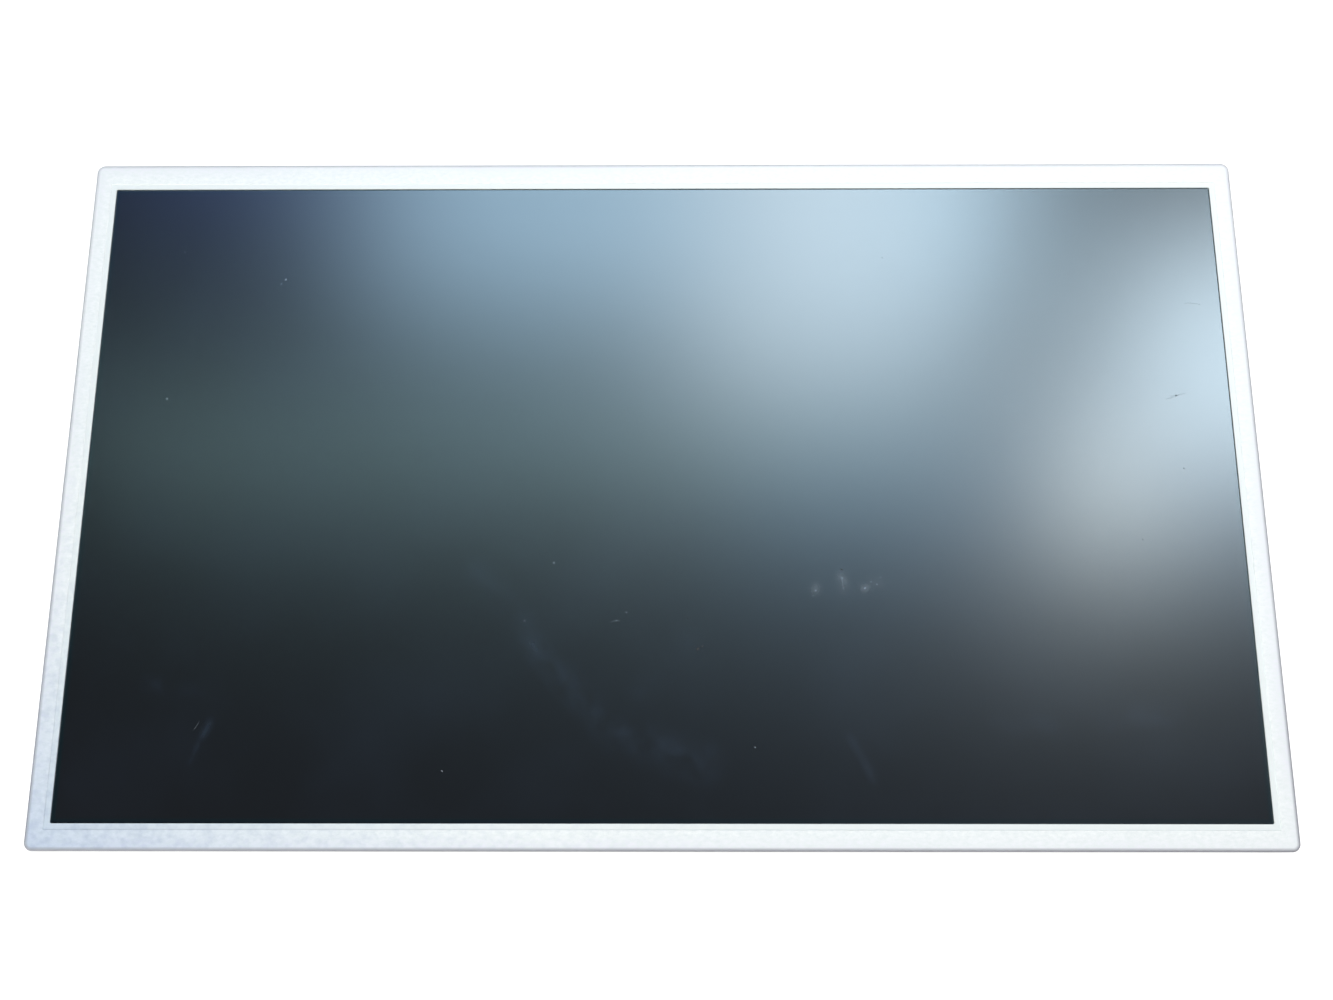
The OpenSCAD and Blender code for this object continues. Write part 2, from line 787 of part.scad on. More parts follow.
// Flat chip with a row of leads on each side, its leads on the board
module leaded_chip(size, lead_count, lead_pitch) {
  lead = [0.22, 0.9, 0.15];
  translate([-size[0] / 2, -size[1] / 2, -size[2]]) cube([size[0], size[1], size[2] - 0.05]);
  for (turn = [0, 90, 180, 270], along = spread(lead_count, lead_pitch))
    rotate([0, 0, turn])
      translate([along - lead[0] / 2, (turn % 180 == 0 ? size[1] : size[0]) / 2 - 0.2, -lead[2]])
        cube([lead[0], lead[1] + 0.2, lead[2]]);
}

module timing_chip() {
  color("darkslategray")
    translate([timing_chip_at[0], timing_chip_at[1], board_z]) leaded_chip([12, 12, 1.0], 20, 0.5);
}

module power_chip() {
  color("darkslategray")
    translate([power_chip_at[0], power_chip_at[1], board_z]) leaded_chip([6, 6, 0.9], 8, 0.6);
}

module memory_chip() {
  color("darkslategray")
    translate([memory_chip_at[0], memory_chip_at[1], board_z]) leaded_chip([4.4, 4.4, 0.9], 4, 0.9);
}

module power_coil() {
  coil_h = 1.1;
  groove_depth = 0.3;
  color("gray")
    translate([power_coil_at[0], power_coil_at[1], board_z - coil_h])
      difference() {
        round_slab([-4, 4, -4, 4], 1.2, 0, coil_h);
        translate([0, 0, -past]) linear_extrude(groove_depth + past) ring(2.6, 3.1);
      }
}

module board_capacitors() {
  body = [2.0, 1.2, 0.8];
  cap_w = 0.4;
  proud = 0.03; // how far the soldered end caps stand out of the body
  color("burlywood")
    for (x = capacitor_x)
      translate([x, capacitor_y, board_z - body[2] / 2]) {
        cube([body[0], body[1] - 2 * proud, body[2] - 2 * proud], center = true);
        for (end = [-1, 1])
          translate([end * (body[0] - cap_w) / 2, 0, 0]) cube([cap_w, body[1], body[2]], center = true);
      }
}

// Wide flat socket for the signal cable, open towards -Y
module signal_connector() {
  mouth = [contact_count * contact_pitch + 2.4, plug_size[1] - 1.1, plug_size[2] - 0.7];
  color("wheat")
    translate([plug_x, plug_y, board_z - plug_size[2]])
      difference() {
        translate([-plug_size[0] / 2, 0, 0]) cube(plug_size);
        translate([-mouth[0] / 2, -past, 0.3]) cube([mouth[0], mouth[1] + past, mouth[2]]);
        for (side = [-1, 1])
          translate([side * (plug_size[0] / 2 - 0.9), 1.2, -past])
            cylinder(r = 0.5, h = past + 0.6);
      }
}

module signal_contacts() {
  contact = [0.3, plug_size[1] - 1.4, 0.18];
  color("gold")
    for (x = spread(contact_count, contact_pitch))
      translate([plug_x + x - contact[0] / 2, plug_y + 0.3, board_z - 0.4 - contact[2]])
        cube(contact);
}

module board_shield() {
  centre = middle(shield);
  plug_gap = plug_size[0] + 7;
  color("silver")
    difference() {
      union() {
        translate([centre[0], centre[1], 0])
          mirror([0, 0, 1])
            drawn_tray(width(shield), height(shield), plate_z, shield_corner_r, shield_bend_r, shield_t);
        at_dimples() dimple_cone(dimple_r, 0, board_z);
      }
      at_dimples() dimple_cone(dimple_r - shield_t, -past, board_z - shield_t);
      at_dimples() translate([0, 0, -past]) cylinder(r = shield_screw_r + slip, h = board_z + 2 * past);
      // The wall stays low where the driver films pass
      slab([shield[0] - past, shield[1] + past, board[3] + 0.6, shield[3] + past],
        board_z - film_t - 0.45, plate_z + past);
      slab([plug_x - plug_gap / 2, plug_x + plug_gap / 2, shield[2] - past, plug_y + plug_size[1] + 1.2],
        -past, plate_z + past);
      for (x = vent_x)
        translate([x, vent_y, -past]) vent_slot();
    }
}

module at_dimples() {
  for (x = dimple_x)
    translate([x, dimple_y, 0]) children();
}

// Cone of a dimple, r at z = 0 and narrower towards the board
module dimple_cone(r, z_low, z_high) {
  slope = 0.4;
  translate([0, 0, z_low])
    cylinder(r1 = r - slope * z_low, r2 = r - slope * z_high, h = z_high - z_low);
}

module vent_slot() {
  linear_extrude(shield_t + 2 * past) {
    for (end = [-1, 1])
      translate([0, end * vent_run / 2]) circle(vent_r);
    square([2 * vent_r, vent_run], center = true);
  }
}

module shield_screws() {
  color("lightgray")
    at_dimples()
      translate([0, 0, board_z - shield_t])
        small_screw(2.0, 0.8, shield_screw_r, floor_z - board_z + shield_t);
}

module bezel_screws() {
  color("lightgray")
    for (side = [-1, 1])
      translate([side * tab_x, tab_screw_y, plate_z - bezel_t])
        small_screw(2.2, 0.9, bezel_screw_r, bezel_t + back_t + bezel_screw_grip);
}

front_bezel();
front_polarizer();
front_glass();
rear_glass();
rear_polarizer();
cushion_tape();
panel_frame();
upper_diffuser();
prism_sheet();
lower_diffuser();
light_guide();
light_guide_pads();
reflector_sheet();
led_board();
led_bodies();
led_phosphor();
led_heat_sink();
heat_sink_screws();
led_flex_tail();
led_connector();
led_connector_pins();
flex_tape();
back_cover();
board_insulator();
driver_board();
driver_film(1);  // driver_film_1
driver_film(2);  // driver_film_2
driver_film(3);  // driver_film_3
driver_film(4);  // driver_film_4
driver_film(5);  // driver_film_5
driver_film(6);  // driver_film_6
driver_chips();
timing_chip();
power_chip();
memory_chip();
power_coil();
board_capacitors();
signal_connector();
signal_contacts();
board_shield();
shield_screws();
bezel_screws();
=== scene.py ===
"""Finishes and fine pieces for a flat LCD panel module that lies on its back.

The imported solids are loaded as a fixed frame. Each operator dresses one group of them, or models
a small piece that stands for one. Lengths are in metres, +X is the screen's right, +Y its top and
+Z the way it faces.
"""

import math

import bmesh
import bpy
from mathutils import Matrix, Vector


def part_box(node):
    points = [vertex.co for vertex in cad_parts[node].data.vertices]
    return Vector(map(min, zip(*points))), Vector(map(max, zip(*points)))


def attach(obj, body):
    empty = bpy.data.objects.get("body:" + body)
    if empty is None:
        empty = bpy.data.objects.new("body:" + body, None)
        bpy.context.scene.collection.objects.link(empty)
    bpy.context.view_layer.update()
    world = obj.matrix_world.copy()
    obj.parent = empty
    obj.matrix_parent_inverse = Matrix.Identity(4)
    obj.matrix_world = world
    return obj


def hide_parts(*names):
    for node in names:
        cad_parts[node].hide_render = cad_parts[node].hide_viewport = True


bl_info = {
    "name": "LCD Panel Finishes",
    "version": (1, 0, 0),
    "blender": (4, 5, 0),
    "location": "3D Viewport > Sidebar > LCD Panel",
    "description": "Dresses a flat LCD panel module and sets it on a pale studio floor",
    "category": "Object",
}

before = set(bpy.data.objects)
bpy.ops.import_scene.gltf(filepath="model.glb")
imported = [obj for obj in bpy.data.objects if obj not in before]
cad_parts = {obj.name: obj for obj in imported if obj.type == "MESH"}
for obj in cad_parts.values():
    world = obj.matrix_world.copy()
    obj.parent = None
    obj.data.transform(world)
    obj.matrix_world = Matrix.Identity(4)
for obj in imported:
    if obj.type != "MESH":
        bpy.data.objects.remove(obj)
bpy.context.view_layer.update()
MM = 0.001
BODY = "root"
WHITE = (1.0, 1.0, 1.0)

# Heights that the fine pieces are seated on, read from the solids
FILM_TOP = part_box("front_polarizer")[1].z
BEZEL_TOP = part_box("front_bezel")[1].z
BOARD_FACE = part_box("driver_board")[0].z
# Radii of the bezel's outline and of its opening
BEZEL_CORNER = 3.2 * MM
OPENING_CORNER = 0.6 * MM


# Settings


def colour_prop(name, description, default):
    return bpy.props.FloatVectorProperty(
        name=name, description=description, default=default, size=3, subtype="COLOR",
        min=0.0, max=1.0,
    )


def length_prop(name, description, default):
    return bpy.props.FloatProperty(
        name=name, description=description, default=default, min=0.0, subtype="DISTANCE",
        unit="LENGTH",
    )


def share_prop(name, description, default):
    return bpy.props.FloatProperty(
        name=name, description=description, default=default, min=0.0, max=1.0, subtype="FACTOR"
    )


class PanelFinishes(bpy.types.PropertyGroup):
    """Colours and marks of the module's surfaces."""

    bezel_light: colour_prop("Bezel", "Pale grain of the zinc coat", (0.915, 0.960, 0.945))
    bezel_dark: colour_prop(
        "Bezel dark grain", "Dark grain of the zinc coat", (0.805, 0.865, 0.855)
    )
    # The corner colour is painted shade that darkens the coat towards the lower left corner
    corner_shade_tint: colour_prop(
        "Bezel corner", "Duller tint of the coat at the lower left corner", (0.68, 0.74, 0.86)
    )
    bezel_lip: colour_prop("Bezel lip", "Pressed lip round the screen", (0.80, 0.865, 0.850))
    bezel_edge: colour_prop("Bezel edge", "Cooler tone towards the outer edge", (0.82, 0.835, 0.89))
    # The bend's colour is painted shade, a darker line round the outline
    bezel_bend_shade: colour_prop("Bezel bend", "Burnished bend round the outline", (0.315, 0.33, 0.365))
    bezel_grain: length_prop("Bezel grain", "Width of a mottle on the bezel", 1.1 * MM)
    bezel_stain: colour_prop(
        "Bezel stain", "Tint of the blotches near the lower left corner", (0.84, 0.86, 0.90)
    )
    bezel_blotch: length_prop(
        "Bezel blotch", "Width of a blotch near the lower left corner", 2.4 * MM
    )
    film: colour_prop("Screen", "Dark of the unlit screen", (0.0040, 0.0045, 0.0050))
    film_border: colour_prop(
        "Screen border", "Black mask round the picture area", (0.0010, 0.0075, 0.0095)
    )
    film_smear: colour_prop("Screen smear", "Dried wipe marks on the screen", (0.011, 0.017, 0.028))
    film_dust: colour_prop("Screen dust", "Soft dusty spots on the screen", (0.060, 0.068, 0.074))
    film_tint: colour_prop("Screen reflection", "Tint of the anti-glare coat", (0.68, 0.89, 1.0))
    film_roughness: share_prop("Screen roughness", "Spread of the anti-glare coat", 0.26)
    border_width: length_prop("Border", "Width of the black mask beside the bezel", 1.6 * MM)
    cover: colour_prop("Back cover", "Zinc-coated back sheet", (0.66, 0.68, 0.69))
    shield: colour_prop("Board shield", "Tin-plated shield", (0.72, 0.72, 0.71))
    moulding: colour_prop("Frame", "Moulded inner frame", (0.78, 0.78, 0.76))
    solder_resist: colour_prop("Board", "Green coat of the driver board", (0.010, 0.085, 0.040))


class PanelSizes(bpy.types.PropertyGroup):
    """Sizes of the fine pieces."""

    recess_depth: length_prop("Recess", "Depth of a screw's cross recess", 0.45 * MM)
    edge_round: length_prop("Edge", "Rounding of a moulded socket's edges", 0.10 * MM)
    fleck: length_prop("Fleck", "Width of a dust fleck on the screen", 0.60 * MM)
    fibre: length_prop("Fibre", "Thickness of a lint fibre on the screen", 0.05 * MM)


class PanelStage(bpy.types.PropertyGroup):
    """Floor, lamps and camera."""

    floor_size: length_prop("Floor", "Side of the square floor", 8.0)
    floor_colour: colour_prop("Floor colour", "Pale studio floor", (0.38, 0.38, 0.38))
    floor_glow: share_prop("Floor glow", "How white the floor shows by itself near the panel", 0.80)
    mirrored_glow: share_prop(
        "Mirrored glow", "Share of the floor's own white that metal mirrors", 0.25
    )
    ceiling: colour_prop("Ceiling", "Dim room above the lamps", (0.034, 0.020, 0.033))
    lamp_gain: bpy.props.FloatProperty(
        name="Lamps", description="Level of all lamps together", default=1.0, min=0.0, max=4.0
    )
    camera_place: bpy.props.FloatVectorProperty(
        name="Camera", description="Place of the camera", default=(0.00499, -0.12264, 0.50401),
        subtype="XYZ", unit="LENGTH",
    )
    camera_turn: bpy.props.FloatVectorProperty(
        name="Camera turn", description="Tilt, roll and swing of the camera in degrees",
        default=(13.403, 0.326, 0.044),
    )
    camera_lens: bpy.props.FloatProperty(
        name="Lens", description="Focal length on a 36 mm sensor, in millimetres", default=35.58,
        min=10.0, unit="CAMERA",
    )


# Node helpers


# Most of a noise's values lie between these
USUAL_NOISE = (0.3, 0.7)


class Nodes:
    """Short calls for the shader nodes that the finishes and the room are made of."""

    def __init__(self, tree):
        self.tree = tree

    def node(self, kind, inputs=None, **settings):
        """Adds a shader node. Each input is a link where it is a socket, else a value."""
        made = self.tree.nodes.new("ShaderNode" + kind)
        for key, value in settings.items():
            setattr(made, key, value)
        for key, value in (inputs or {}).items():
            if isinstance(value, bpy.types.NodeSocket):
                self.tree.links.new(value, made.inputs[key])
            else:
                made.inputs[key].default_value = value
        return made

    def math(self, operation, first, second=0.0):
        return self.node("Math", {0: first, 1: second}, operation=operation).outputs[0]

    def times(self, first, second):
        return self.math("MULTIPLY", first, second)

    def plus(self, first, second):
        return self.math("ADD", first, second)

    def minus(self, first, second):
        return self.math("SUBTRACT", first, second)

    def larger(self, first, second):
        return self.math("MAXIMUM", first, second)

    def vector_math(self, operation, inputs, output="Vector"):
        return self.node("VectorMath", inputs, operation=operation).outputs[output]

    def fit(self, value, low, high, to_low=0.0, to_high=1.0):
        """Maps low to high onto to_low to to_high, and holds the ends."""
        inputs = {
            "Value": value, "From Min": low, "From Max": high, "To Min": to_low, "To Max": to_high
        }
        return self.node("MapRange", inputs).outputs["Result"]

    def blend(self, factor, first, second, mode="MIX"):
        """Goes from the first colour to the second, or to both multiplied, by the factor."""
        inputs = {0: factor}
        for index, colour in ((6, first), (7, second)):
            linked = isinstance(colour, bpy.types.NodeSocket)
            inputs[index] = colour if linked else (*colour, 1.0)
        mix = self.node("Mix", inputs, data_type="RGBA", blend_type=mode)
        return mix.outputs[2]

    def shown_to(self, mirrored):
        """1 for rays from the camera, and the mirrored share off gloss or through glass."""
        paths = self.node("LightPath").outputs
        gloss = self.larger(paths["Is Glossy Ray"], paths["Is Transmission Ray"])
        return self.larger(paths["Is Camera Ray"], self.times(gloss, mirrored))


class Finish(Nodes):
    """One procedural material on the object's own coordinates."""

    def __init__(self, name, colour, roughness, constants=None):
        self.material = bpy.data.materials.new(name)
        self.material.use_nodes = True
        super().__init__(self.material.node_tree)
        self.shader = self.tree.nodes["Principled BSDF"]
        fixed = {"Base Color": (*colour, 1.0), "Roughness": roughness, **(constants or {})}
        for socket, value in fixed.items():
            self.shader.inputs[socket].default_value = value
        self.place = self.node("TexCoord").outputs["Object"]
        self.last_bump = None

    def drawn_out(self, length):
        """Coordinates on which marks are drawn out along X, by length against their width."""
        inputs = {"Vector": self.place, "Scale": (1.0 / length, 1.0, 1.0)}
        return self.node("Mapping", inputs).outputs["Vector"]

    def noise(self, size, detail=3.0, length=1.0, seed=0.0):
        """Noise whose marks are about size metres wide."""
        inputs = {
            "Vector": self.drawn_out(length), "W": seed, "Scale": 1.0 / size, "Detail": detail
        }
        return self.node("TexNoise", inputs, noise_dimensions="4D").outputs["Fac"]

    def cells(self, size, length=1.0, output="Distance"):
        """Cells about size metres wide."""
        inputs = {"Vector": self.drawn_out(length), "Scale": 1.0 / size}
        return self.node("TexVoronoi", inputs).outputs[output]

    def axis(self, name):
        """One of the object's own coordinates."""
        return self.node("SeparateXYZ", {0: self.place}).outputs[name]

    def outline_distance(self, low, high, radius):
        """Distance outside a rectangle with rounded corners, seen along Z. Negative inside."""
        past = []
        for axis, start, end in (("X", low.x, high.x), ("Y", low.y, high.y)):
            from_middle = self.math("ABSOLUTE", self.minus(self.axis(axis), (start + end) / 2))
            past.append(self.minus(from_middle, (end - start) / 2 - radius))
        squares = [self.math("POWER", self.larger(value, 0.0), 2.0) for value in past]
        outside = self.math("SQRT", self.plus(*squares))
        inside = self.math("MINIMUM", self.larger(*past), 0.0)
        return self.minus(self.plus(outside, inside), radius)

    def stroke(self, start, end, width):
        """1 along the line from start to end, fading to 0 at half the width."""
        start, end = Vector(start), Vector(end)
        along = (end - start).normalized()
        offset = self.vector_math("SUBTRACT", {0: self.place, 1: start})
        run = self.vector_math("DOT_PRODUCT", {0: offset, 1: along}, "Value")
        inputs = {"Value": run, "Min": 0.0, "Max": (end - start).length}
        run = self.node("Clamp", inputs).outputs[0]
        foot = self.vector_math("SCALE", {0: along, "Scale": run})
        away = self.vector_math("DISTANCE", {0: offset, 1: foot}, "Value")
        return self.fit(away, width / 2, 0.0)

    def paint(self, colour):
        self.tree.links.new(colour, self.shader.inputs["Base Color"])
        return self

    def polish(self, value):
        self.tree.links.new(value, self.shader.inputs["Roughness"])
        return self

    def satin(self, pattern, low, high):
        """Lets the roughness go from low to high over a noise's usual range."""
        return self.polish(self.fit(pattern, *USUAL_NOISE, low, high))

    def bump(self, height, depth):
        """Adds relief of that depth in metres on top of any relief already there."""
        inputs = {"Height": height, "Distance": depth, "Strength": 1.0}
        if self.last_bump:
            inputs["Normal"] = self.last_bump
        self.last_bump = self.node("Bump", inputs).outputs["Normal"]
        self.tree.links.new(self.last_bump, self.shader.inputs["Normal"])
        return self


def scaled(colour, factor):
    return tuple(min(1.0, channel * factor) for channel in colour)


def dress(finish, *nodes):
    """Gives CAD nodes a material."""
    for name in nodes:
        for material_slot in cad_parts[name].material_slots:
            material_slot.material = finish.material


def add_piece(piece, finish, slot, *replaced):
    """Hands a modelled piece to the frame, in place of the CAD nodes named."""
    piece.data.materials.clear()
    piece.data.materials.append(finish.material)
    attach(piece, BODY)
    if replaced:
        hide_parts(*replaced)


# Modelling helpers

# Edges that turn by more than this are rounded, or stay sharp under smooth shading
SHARP_ANGLE = math.radians(40)
# Faces whose normal has more than this share of a direction look along it
ALIGNED = 0.9


def clear_selection():
    if bpy.context.object and bpy.context.object.mode != "OBJECT":
        leave_edit()
    bpy.ops.object.select_all(action="DESELECT")


def select_only(*pieces):
    clear_selection()
    for piece in pieces:
        piece.select_set(True)
    bpy.context.view_layer.objects.active = pieces[0]


def named(piece, name):
    piece.name = name
    piece.data.name = name
    return piece


def settle(name):
    """Names the active object, and applies its place, turn and size to its mesh."""
    piece = named(bpy.context.object, name)
    bpy.ops.object.transform_apply(location=True, rotation=True, scale=True)
    return piece


def box_piece(name, low, high):
    """Box between two corners, ready to be shaped."""
    clear_selection()
    low, high = Vector(low), Vector(high)
    bpy.ops.mesh.primitive_cube_add(size=1.0, location=(low + high) / 2, scale=high - low)
    return settle(name)


def facing(y=0, z=0):
    """Test for faces that look along a direction."""
    direction = Vector((0, y, z))
    return lambda face: face.normal.dot(direction) > ALIGNED


def select_faces(piece, wanted):
    """Leaves the piece in edit mode with only the wanted faces selected."""
    select_only(piece)
    bpy.ops.object.mode_set(mode="EDIT")
    bpy.ops.mesh.select_mode(type="FACE")
    bpy.ops.mesh.select_all(action="DESELECT")
    mesh = bmesh.from_edit_mesh(piece.data)
    for face in mesh.faces:
        face.select_set(wanted(face))
    bmesh.update_edit_mesh(piece.data)


def edit_all():
    """Leaves the active object in edit mode with everything selected."""
    bpy.ops.object.mode_set(mode="EDIT")
    bpy.ops.mesh.select_all(action="SELECT")


def leave_edit():
    bpy.ops.object.mode_set(mode="OBJECT")


def extrude(move):
    bpy.ops.mesh.extrude_region_move(TRANSFORM_OT_translate={"value": move})


def apply_modifier(piece, kind, **settings):
    select_only(piece)
    modifier = piece.modifiers.new(kind.lower(), kind)
    for key, value in settings.items():
        setattr(modifier, key, value)
    bpy.ops.object.modifier_apply(modifier=modifier.name)


def cut(piece, cutter):
    """Cuts one piece out of another and deletes the cutter."""
    apply_modifier(piece, "BOOLEAN", operation="DIFFERENCE", object=cutter, solver="EXACT")
    bpy.data.objects.remove(cutter, do_unlink=True)


def copies(piece, places):
    """One object that holds a copy of the piece at each place, with the first piece used up."""
    made = []
    for place in places:
        twin = piece.copy()
        twin.data = piece.data.copy()
        bpy.context.collection.objects.link(twin)
        twin.location = place
        made.append(twin)
    name = piece.name
    bpy.data.objects.remove(piece, do_unlink=True)
    select_only(*made)
    bpy.ops.object.transform_apply(location=True, rotation=True, scale=True)
    bpy.ops.object.join()
    return named(bpy.context.object, name)


def join(name, *pieces):
    select_only(*pieces)
    bpy.ops.object.join()
    return settle(name)


# Finishes

# Dried wipe marks on the screen: x and y of both ends, width and strength, in millimetres
WIPE_MARKS = (
    (-69.9, -32.8, -49.4, -54.1, 15, 0.5),
    (-49.3, -59.8, -18.7, -91.8, 16, 0.8),
    (-18.7, -91.8, 14.8, -104.6, 22, 0.7),
    (-7.6, -78.7, 11.2, -59.7, 16, 0.35),
    (-167.2, -89.1, -173.4, -103.9, 5, 1.0),
    (-192.0, -75.3, -171.0, -79.0, 9, 0.5),
    (70.5, -95.3, 78.2, -110.0, 6, 0.8),
    (126.4, -90.4, 143.1, -90.4, 13, 0.5),
    (167.4, -88.8, 188.0, -86.6, 15, 0.8),
)
# Dusty spots on the screen, in the same terms
DUSTY_SPOTS = (
    (58.4, -40.1, 58.8, -39.2, 6.0, 0.75),
    (68.2, -35.0, 69.4, -36.4, 6.0, 0.75),
    (69.0, -40.1, 69.6, -39.0, 6.0, 0.35),
    (77.0, -39.5, 77.8, -39.1, 5.0, 1.0),
    (80.8, -37.0, 83.0, -38.0, 5.0, 0.4),
)
# Bands of Blender's wave texture are this wide, in metres, at a scale of 1
WAVE_WIDTH = 0.314


def bezel_grain(finish, looks):
    """Coarse and fine mottles of the zinc coat, and the two together."""
    coarse = finish.noise(looks.bezel_grain, detail=4.0, length=1.7)
    fine = finish.noise(looks.bezel_grain / 3, detail=2.0, seed=3.0)
    return coarse, fine, finish.plus(finish.times(coarse, 0.7), finish.times(fine, 0.3))


def bezel_corner(finish, looks, colour):
    """Paints shade, darker and bluer, and blotches on the coat towards the lower left corner."""
    # Grows from that corner towards the opposite one
    across = finish.plus(finish.axis("X"), finish.times(finish.axis("Y"), 1.6))
    # Painted shade: the coat darkens and turns bluer towards the lower left corner
    painted_corner_shade = finish.math("POWER", finish.fit(across, -0.44, -0.24, 1.0, 0.0), 1.5)
    colour = finish.blend(painted_corner_shade, colour, looks.corner_shade_tint, "MULTIPLY")
    blotch = finish.noise(looks.bezel_blotch, detail=4.0, length=1.3, seed=9.0)
    blotch = finish.times(
        finish.fit(blotch, 0.44, 0.68), finish.fit(across, -0.42, -0.12, 1.0, 0.0)
    )
    return finish.blend(blotch, colour, looks.bezel_stain, "MULTIPLY")


def zinc_bezel(looks):
    """Zinc-coated sheet: fine mottles, a cooler outer edge, painted shade along the bend and at the
    lower left corner, a pressed lip.
    """
    finish = Finish(
        "zinc_bezel", looks.bezel_light, 0.60, {"Metallic": 0.10, "Specular IOR Level": 0.3}
    )
    coarse, fine, mottle = bezel_grain(finish, looks)
    drift = finish.noise(45 * MM, detail=1.0, seed=7.0)
    low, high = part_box("front_bezel")
    from_edge = finish.outline_distance(low, high, BEZEL_CORNER)
    cool = finish.times(
        finish.fit(from_edge, -6.5 * MM, -1.5 * MM), finish.fit(drift, 0.35, 0.65, 0.4, 0.9)
    )
    light = finish.blend(cool, looks.bezel_light, looks.bezel_edge)
    colour = finish.blend(finish.fit(mottle, 0.36, 0.64), looks.bezel_dark, light)
    height = finish.axis("Z")
    lip = finish.fit(height, BEZEL_TOP - 0.19 * MM, BEZEL_TOP - 0.02 * MM, 0.8, 0.0)
    colour = bezel_corner(finish, looks, finish.blend(lip, colour, looks.bezel_lip))
    # Painted shade along the bend round the outline, half as strong at the top as at the bottom
    bend = finish.times(
        finish.fit(from_edge, -1.7 * MM, -0.5 * MM),
        finish.fit(height, BEZEL_TOP - 1.6 * MM, BEZEL_TOP - 1.1 * MM),
    )
    bend = finish.times(bend, finish.fit(finish.axis("Y"), low.y, high.y, 1.0, 0.5))
    finish.paint(finish.blend(bend, colour, looks.bezel_bend_shade))
    finish.satin(mottle, 0.52, 0.68)
    return finish.bump(fine, 0.008 * MM).bump(coarse, 0.012 * MM)


def zinc_cover(looks):
    """Back sheet: satin zinc with roll marks, clouds and faint scuffs."""
    finish = Finish("zinc_cover", looks.cover, 0.42, {"Metallic": 0.60})
    grain = finish.noise(0.6 * MM, length=6.0)
    cloud = finish.noise(30 * MM, seed=2.0)
    scuff = finish.fit(finish.noise(9 * MM, detail=6.0, length=3.0, seed=5.0), 0.60, 0.72)
    colour = finish.blend(grain, scaled(looks.cover, 0.86), scaled(looks.cover, 1.12))
    cloudy = finish.fit(cloud, *USUAL_NOISE, 0.0, 0.35)
    colour = finish.blend(cloudy, colour, scaled(looks.cover, 0.8))
    colour = finish.blend(finish.times(scuff, 0.4), colour, scaled(looks.cover, 1.3))
    finish.paint(colour).polish(finish.fit(grain, 0.25, 0.75, 0.34, 0.52))
    return finish.bump(grain, 0.008 * MM)


def tin_shield(looks):
    """Tin-plated shield: brighter and smoother than the back sheet, with finger-wide clouds."""
    finish = Finish("tin_shield", looks.shield, 0.3, {"Metallic": 0.9})
    cloud = finish.noise(16 * MM, detail=2.0)
    grain = finish.noise(1.4 * MM, detail=2.0, length=6.0, seed=1.0)
    finish.paint(finish.blend(grain, scaled(looks.shield, 0.9), scaled(looks.shield, 1.1)))
    return finish.satin(cloud, 0.28, 0.44)


def plated_screw():
    finish = Finish("plated_screw", (0.55, 0.54, 0.50), 0.32, {"Metallic": 1.0})
    speckle = finish.noise(0.25 * MM)
    finish.paint(finish.blend(speckle, (0.42, 0.42, 0.40), (0.66, 0.65, 0.61)))
    return finish.satin(speckle, 0.26, 0.42).bump(speckle, 0.006 * MM)


def mill_aluminium():
    finish = Finish("mill_aluminium", (0.72, 0.73, 0.74), 0.38, {"Metallic": 1.0})
    lines = finish.noise(0.35 * MM, detail=2.0, length=30.0)
    finish.paint(finish.blend(lines, (0.62, 0.63, 0.64), (0.80, 0.81, 0.82)))
    return finish.satin(lines, 0.3, 0.48).bump(lines, 0.006 * MM)


def film_marks(finish, rows):
    """Mask and strength of each row of wipe marks or dusty spots."""
    for x0, y0, x1, y1, width, strength in rows:
        start, end = ((x * MM, y * MM, FILM_TOP) for x, y in ((x0, y0), (x1, y1)))
        yield finish.stroke(start, end, width * MM), strength


def anti_glare_film(looks, low, high):
    """Matt film over the dark cell: a black mask at the opening's rim, wipe marks and dust."""
    constants = {
        "IOR": 1.577, "Specular IOR Level": 1.0, "Specular Tint": (*looks.film_tint, 1.0)
    }
    rough = looks.film_roughness
    finish = Finish("anti_glare_film", looks.film, rough, constants)
    inset = Vector((looks.border_width, looks.border_width, 0.0))
    from_picture = finish.outline_distance(low + inset, high - inset, OPENING_CORNER)
    border = finish.fit(from_picture, -0.1 * MM, 0.1 * MM)
    wander = finish.noise(7 * MM, detail=4.0, seed=4.0)
    marks = finish.fit(finish.noise(38 * MM, seed=8.0), 0.45, 0.75, 0.0, 0.25)
    for line, strength in film_marks(finish, WIPE_MARKS):
        worn = finish.times(line, finish.fit(wander, 0.34, 0.66, 0.0, strength))
        marks = finish.larger(marks, worn)
    colour = finish.blend(marks, looks.film, looks.film_smear)
    for spot, strength in film_marks(finish, DUSTY_SPOTS):
        colour = finish.blend(finish.times(spot, strength), colour, looks.film_dust)
    finish.paint(finish.blend(border, colour, looks.film_border))
    return finish.polish(finish.fit(marks, 0.0, 1.0, rough, rough + 0.02))


def plate_glass():
    constants = {"IOR": 1.52, "Transmission Weight": 1.0}
    finish = Finish("plate_glass", (0.80, 0.93, 0.88), 0.02, constants)
    haze = finish.noise(3 * MM, detail=2.0)
    return finish.satin(haze, 0.01, 0.05)


def film_sheet(name, colour, roughness, rib=0.0):
    """Plastic sheet with a fine cloud, and with ribs along X where rib is their pitch."""
    finish = Finish(name, colour, roughness, {"IOR": 1.58})
    cloud = finish.noise(12 * MM)
    finish.paint(finish.blend(cloud, scaled(colour, 0.94), scaled(colour, 1.04)))
    finish.satin(cloud, roughness * 0.85, roughness * 1.15)
    if not rib:
        return finish.bump(finish.noise(0.15 * MM, detail=1.0), 0.003 * MM)
    inputs = {"Vector": finish.place, "Scale": WAVE_WIDTH / rib}
    ribs = finish.node("TexWave", inputs, bands_direction="Y")
    return finish.bump(ribs.outputs["Fac"], rib / 2)


